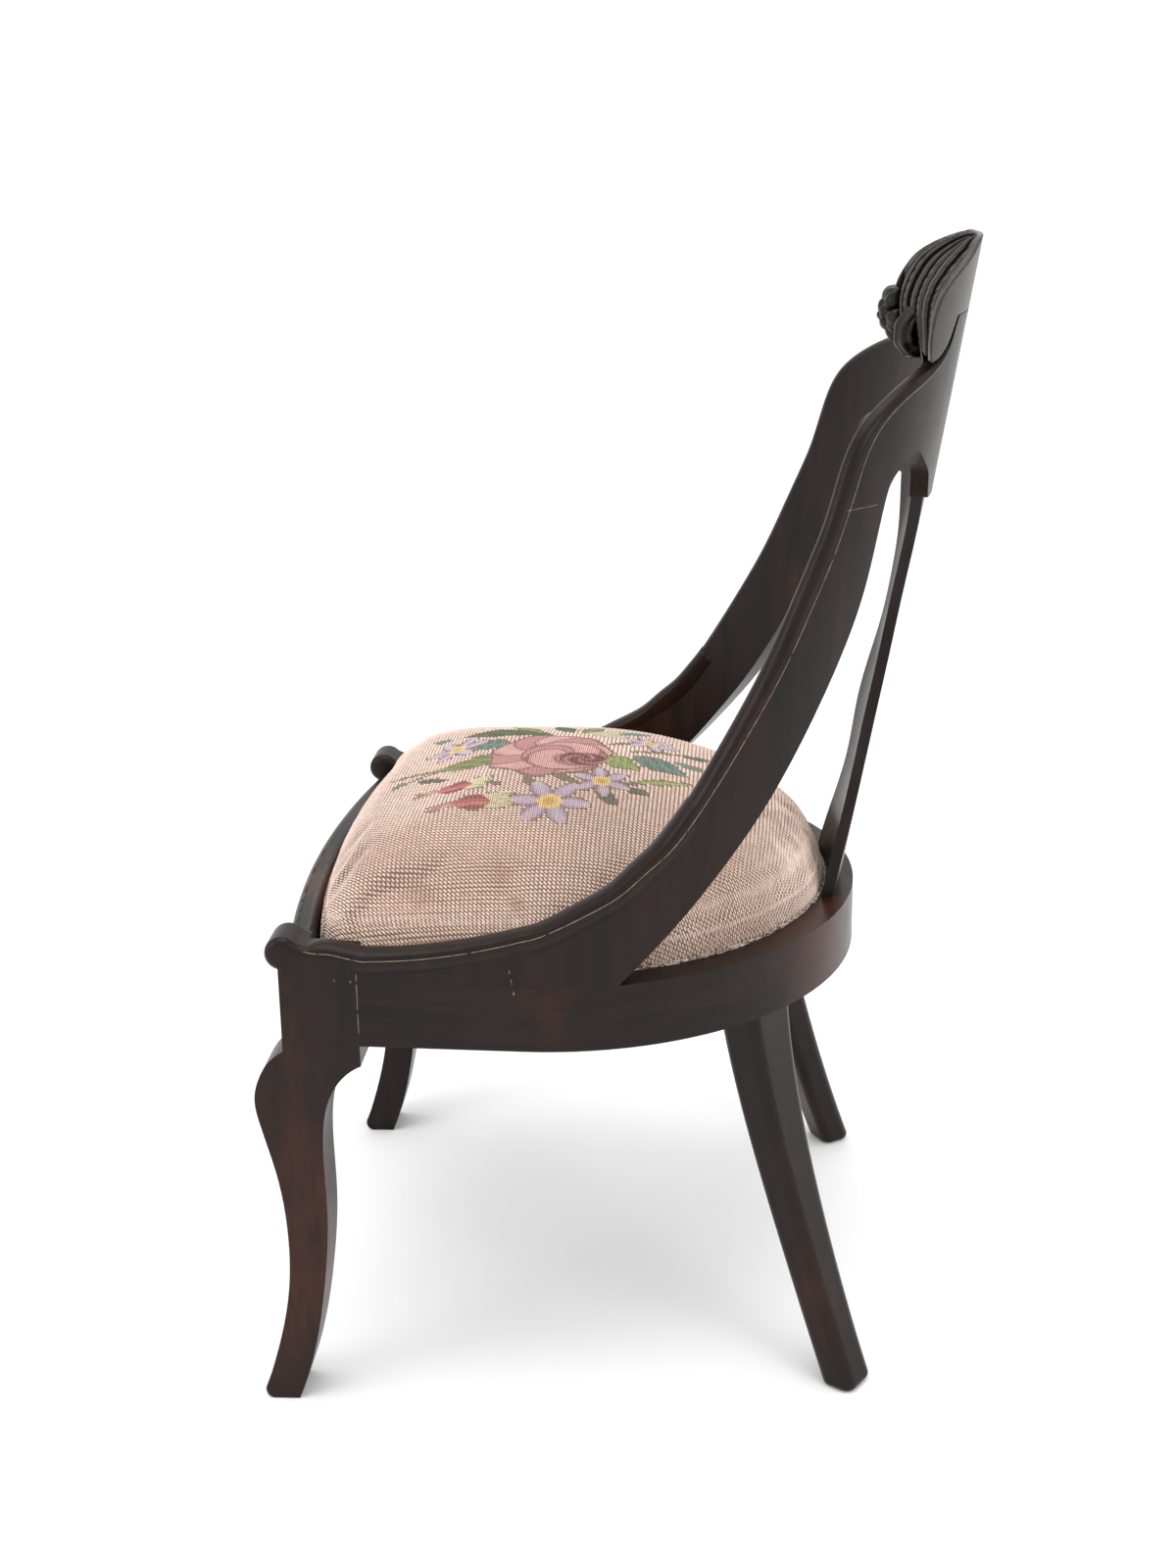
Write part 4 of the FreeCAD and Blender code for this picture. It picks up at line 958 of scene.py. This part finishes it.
def surface_line(points, trees, toward):
    """Moves line points on to the wood: each drops on to the nearest of the given pieces along one way."""
    placed, outward = [], []
    for p, way in zip(points, toward):
        start = Vector(to_scene(p)) + Vector(way) * 0.03
        best = None
        for tree in trees:
            hit = tree.ray_cast(start, -Vector(way), 0.06)
            if hit[0] is not None and (best is None or hit[3] < best[3]):
                best = hit
        if best is not None:
            placed.append(np.array(best[0]) * 1000.0 + np.array([0.0, ORIGIN_SHIFT, 0.0]))
            outward.append(np.array(best[1]))
    return np.array(placed), np.array(outward)


def tree_of(name):
    return mesh_tree(nodes[name].data)


# Front edge of the back, as angle from the middle and height over the rail, and the way in from that edge
EDGE = [(91.0, 41.2, -0.1, -1.0), (85.9, 53.2, -0.35, -0.94), (79.4, 69.6, -0.4, -0.92),
        (75.2, 87.1, -0.5, -0.87), (70.9, 106.0, -0.6, -0.8), (66.5, 137.0, -0.7, -0.71),
        (61.0, 184.0, -0.8, -0.6), (56.0, 230.0, -0.88, -0.48), (52.4, 273.0, -0.95, -0.3),
        (49.4, 312.0, -0.98, -0.2), (47.3, 352.0, -1.0, -0.1), (46.2, 376.0, -0.98, -0.2),
        (44.4, 394.0, -0.9, -0.44), (41.0, 408.0, -0.6, -0.8), (36.0, 419.5, -0.4, -0.92),
        (30.5, 428.0, -0.4, -0.92), (25.5, 437.0, -0.45, -0.9)]
# Scratches on the side: place along the chair, height and run
NICKS = [(-20.0, 366.0, 3.0), (-18.5, 357.0, 5.0), (-17.0, 349.0, 3.0), (-150.0, 356.0, 2.0),
         (-138.0, 355.0, 2.5)]


def tail_line(lift):
    """Points along the outer top edge of the tail, from the leg to the rising stile, raised by a lift."""
    points = []
    for share in np.linspace(1.0, 0.06, 16):
        height = TAIL_HEIGHT + TAIL_CLIMB * (1.0 - share) ** TAIL_CURVE + lift
        points.append(shell_point(ARC_END, share * SIDE_FORWARD, height, 0.0))
    return points


def leg_top():
    """Points along the outer top edge of the front leg, from the knob back to the joint."""
    tree = tree_of("front_leg_left")
    points = []
    for ahead in np.linspace(KNOB_REACH, 18.0, 5):
        edge = shell_point(ARC_END, SIDE_FORWARD + ahead, 0.0, 0.0)
        above = edge + np.array([-5.0, 0.0, 90.0])
        hit = tree.ray_cast(Vector(to_scene(above)), Vector((0.0, 0.0, -1.0)), 0.12)
        if hit[0] is not None:
            points.append(np.array([edge[0], edge[1], hit[0].z * 1000.0 - LEG_SINK]))
    return points


def roll_path():
    """Outer edge of the roll on the left: over the leg, along the tail and into the rising stile."""
    flat = leg_top() + tail_line(0.0)
    flat += [shell_point(angle, 0.0, height, 0.0) for angle, height, across, down in EDGE[:6]]
    spread = np.linspace(0.0, 1.0, 400)
    smooth = [[curve_through([q[k] for q in flat], t) for k in range(3)] for t in spread]
    return resampled(smooth, ROLL_STEP)


def rolled_edge(side):
    """The half-round roll on the top edge, sunk in the wood and run out at both ends."""
    name = "left" if side > 0 else "right"
    path = roll_path()
    ahead = np.gradient(path, axis=0)
    ahead /= np.linalg.norm(ahead, axis=1)[:, None]
    rows = []
    for i, q in enumerate(path):
        inward = np.array([-q[0], -max(q[1] - (q[2] - RAIL_TOP) * RAKE, 0.0), 0.0])
        inward /= np.linalg.norm(inward)
        up = np.cross(ahead[i], inward)
        up *= np.sign(up[2]) / np.linalg.norm(up)
        start = smoothstep(0.0, ROLL_RUN_IN, ROLL_STEP * i)
        stop = smoothstep(0.0, ROLL_RUN_OUT, ROLL_STEP * (len(path) - 1 - i))
        rise = NOSING_RISE * start
        sunk = -0.8 * (1.0 - start) - 1.2 * (1.0 - stop)
        wide = ROLL_WIDTH / 2.0 + ROLL_PROUD
        section = [(-ROLL_PROUD - 0.5 * sunk, -ROLL_DEPTH)]
        for turn in np.linspace(0.0, math.pi, 15):
            section.append((wide - ROLL_PROUD - wide * math.cos(turn) - 0.5 * sunk * math.cos(turn),
                            rise * math.sin(turn) + sunk))
        section.append((ROLL_WIDTH, -ROLL_DEPTH))
        rows.append([(q + inward * a + up * b) * np.array([side, 1.0, 1.0]) for a, b in section])
    columns = len(rows[0])
    faces = tube_faces(len(rows), columns)
    if side < 0:
        faces = [tuple(reversed(f)) for f in faces]
    points = to_scene(np.array(rows).reshape(-1, 3))
    return mesh_object(f"rolled_edge_{name}", points, faces, upright, "chair_frame")


def old_polish(side, roll):
    name = "left" if side > 0 else "right"
    mirror = np.array([side, 1.0, 1.0])
    drop = NOSING_RISE - QUIRK_DROP
    flat = [q + np.array([0.0, 0.0, drop]) for q in leg_top()[1:]] + tail_line(drop)
    ways = []
    for angle, height, across, down in EDGE:
        turn = math.degrees(across * QUIRK_DROP / SEAT_RADIUS)
        flat.append(shell_point(angle + turn, 0.0, height - down * drop, 0.0))
    spread = np.linspace(0.0, 1.0, 500)
    smooth = [[curve_through([p[k] for p in flat], t) for k in range(3)] for t in spread]
    points = resampled(smooth, 2.0)
    for p in points:
        lean = (p[2] - RAIL_TOP) * RAKE
        out = np.array([p[0], max(p[1] - lean, 0.0), 0.0])
        ways.append(out / np.linalg.norm(out) * mirror)
    trees = [tree_of(n) for n in (f"front_leg_{name}", f"stile_{name}", "crest_rail")]
    trees.append(mesh_tree(roll.data))
    placed, outward = surface_line(points * mirror, trees, ways)
    pieces = broken(placed, outward, 0.34, 0.95, 90)
    joint = [np.array([SEAT_RADIUS, POST_JOINT_Y - 0.2, z]) for z in np.arange(314.0, 369.0, 1.5)]
    sideways = [np.array([side, 0.0, 0.0])] * len(joint)
    rail_trees = [tree_of(n) for n in (f"front_leg_{name}", f"side_rail_{name}", f"stile_{name}")]
    placed, outward = surface_line(np.array(joint) * mirror, rail_trees, sideways)
    pieces += broken(placed, outward, 0.30, 0.80, 16)
    yoke = [shell_point(a, 0.0, CREST_JOINT, 0.0) for a in np.linspace(47.0, 36.8, 26)]
    ways = [np.array([p[0], p[1] - CREST_JOINT * RAKE, 0.0]) / SEAT_RADIUS * mirror for p in yoke]
    placed, outward = surface_line(np.array(yoke) * mirror, trees, ways)
    pieces += broken(placed, outward, 0.26, 0.95, 30)
    for y, z, run in NICKS:
        nick = [np.array([SEAT_RADIUS, y + 0.4 * random.uniform(-1, 1), z + d])
                for d in np.linspace(0.0, run, 7)]
        placed, outward = surface_line(np.array(nick) * mirror, rail_trees, [np.array([side, 0.0, 0.0])] * 7)
        if len(placed) > 3:
            pieces.append(wire(placed, outward, 0.34))
    points, faces = joined(pieces)
    obj = mesh_object(f"worn_lines_{name}", to_scene(points), faces, worn, "chair_frame")
    return obj


def frayed_edge():
    """Canvas threads that stand out where the cover is turned in along the back of the seat."""
    pieces = []
    for k in range(520):
        angle = random.uniform(-80.0, 80.0)
        reach = SEAT_RADIUS - SEAT_INSET + random.uniform(-0.4, 0.6)
        turn = math.radians(angle)
        height = RAIL_TOP + random.uniform(-0.5, 2.5)
        start = np.array([reach * math.sin(turn), reach * math.cos(turn), height])
        along = np.array([math.cos(turn), -math.sin(turn), 0.0]) * random.choice((-1.0, 1.0))
        out = np.array([math.sin(turn), math.cos(turn), 0.0])
        run, rise = random.uniform(2.5, 7.0), random.uniform(0.4, 2.4)
        steps = np.linspace(0.0, 1.0, 6)
        line = np.array([start + along * (run * s) + out * (1.1 * math.sin(math.pi * s))
                         + np.array([0, 0, rise * s * (1.6 - s)]) for s in steps])
        pieces.append(wire(line, np.tile(out, (6, 1)), random.uniform(0.22, 0.4)))
    points, faces = joined(pieces)
    return mesh_object("frayed_edge", to_scene(points), faces, thread, "slip_seat")


# Dust sheet under the seat: stretched cambric that sags a little


def dust_sheet():
    low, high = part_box("dust_cover")
    top = high.z
    ring = seat_ring(DUST_MARGIN, DUST_MARGIN)
    count = len(ring)
    centre = np.array([0.0, CUSHION_CENTRE_Y])
    rows = []
    for share in np.linspace(1.0, 0.04, 22):
        flat = centre + (ring - centre) * share
        ripple = 1.0 + 0.2 * np.sin(flat[:, 0] / 40.0) * np.sin(flat[:, 1] / 33.0)
        sag = DUST_SAG * (1.0 - share ** 2) * ripple
        rows.append(np.column_stack([flat, top * 1000.0 - 0.2 - sag]))
    points = to_scene(np.concatenate(rows))
    faces = ring_faces(len(rows), count)
    faces.append(tuple((len(rows) - 1) * count + c for c in range(count)))
    obj = mesh_object("dust_sheet", points, faces, dust_cloth, "slip_seat")
    thick = obj.modifiers.new("thick", "SOLIDIFY")
    thick.thickness = 0.0005
    thick.offset = 0.0
    apply_modifiers(obj)
    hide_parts("dust_cover")
    return obj


cushion = stuffed_cushion()
needlework(cushion)
carved_crown()
crown_flower()
for side in (1.0, -1.0):
    curled_bud(side)
    old_polish(side, rolled_edge(side))
frayed_edge()
dust_sheet()


# Studio


def floor():
    size = 9.0
    n = 24
    side = np.linspace(-size, size, n)
    points = [(x, y, -0.0004) for y in side for x in side]
    obj_faces = ring_faces(n, n, False)
    mesh = bpy.data.meshes.new("floor")
    mesh.from_pydata(points, [], obj_faces)
    material, tree, shader = new_material("pale_floor")
    shader.inputs["Base Color"].default_value = (0.97, 0.97, 0.97, 1.0)
    shader.inputs["Roughness"].default_value = 0.7
    mesh.materials.append(material)
    obj = bpy.data.objects.new("floor", mesh)
    in_scene(obj)


def softbox(name, place, target, size, power):
    light = bpy.data.lights.new(name, "AREA")
    light.shape = "RECTANGLE"
    light.size, light.size_y = size
    light.energy = power
    obj = bpy.data.objects.new(name, light)
    in_scene(obj)
    obj.location = place
    obj.rotation_euler = (Vector(target) - Vector(place)).to_track_quat("-Z", "Y").to_euler()


def studio():
    floor()
    world = bpy.data.worlds.new("studio")
    world.use_nodes = True
    back = world.node_tree.nodes["Background"]
    back.inputs["Color"].default_value = (1.0, 1.0, 1.0, 1.0)
    back.inputs["Strength"].default_value = 1.06
    bpy.context.scene.world = world
    softbox("overhead", (0.3, -0.2, 2.7), (0.0, 0.0, 0.4), (2.0, 2.0), 30.0)
    softbox("front", (1.6, -2.4, 1.5), (0.0, 0.0, 0.45), (1.4, 1.4), 18.0)
    softbox("rear", (1.9, 1.9, 1.7), (0.0, 0.1, 0.5), (1.2, 1.6), 20.0)


def camera():
    data = bpy.data.cameras.new("camera")
    data.sensor_fit = "AUTO"
    data.sensor_width = 36.0
    data.lens = 46.87
    data.shift_x = -0.06625
    data.shift_y = -0.05125
    data.dof.use_dof = False
    obj = bpy.data.objects.new("camera", data)
    in_scene(obj)
    yaw, pitch = math.radians(-1.65), math.radians(16.54)
    ahead = Vector((-math.cos(yaw) * math.cos(pitch), math.sin(yaw) * math.cos(pitch), -math.sin(pitch)))
    right = Vector((math.sin(yaw), math.cos(yaw), 0.0))
    up = right.cross(ahead)
    turn = Matrix((right, up, -ahead)).transposed().to_4x4()
    obj.matrix_world = Matrix.Translation((1.610, 0.0989, 0.980)) @ turn
    bpy.context.scene.camera = obj
    bpy.context.scene.view_settings.view_transform = "Standard"


studio()
camera()
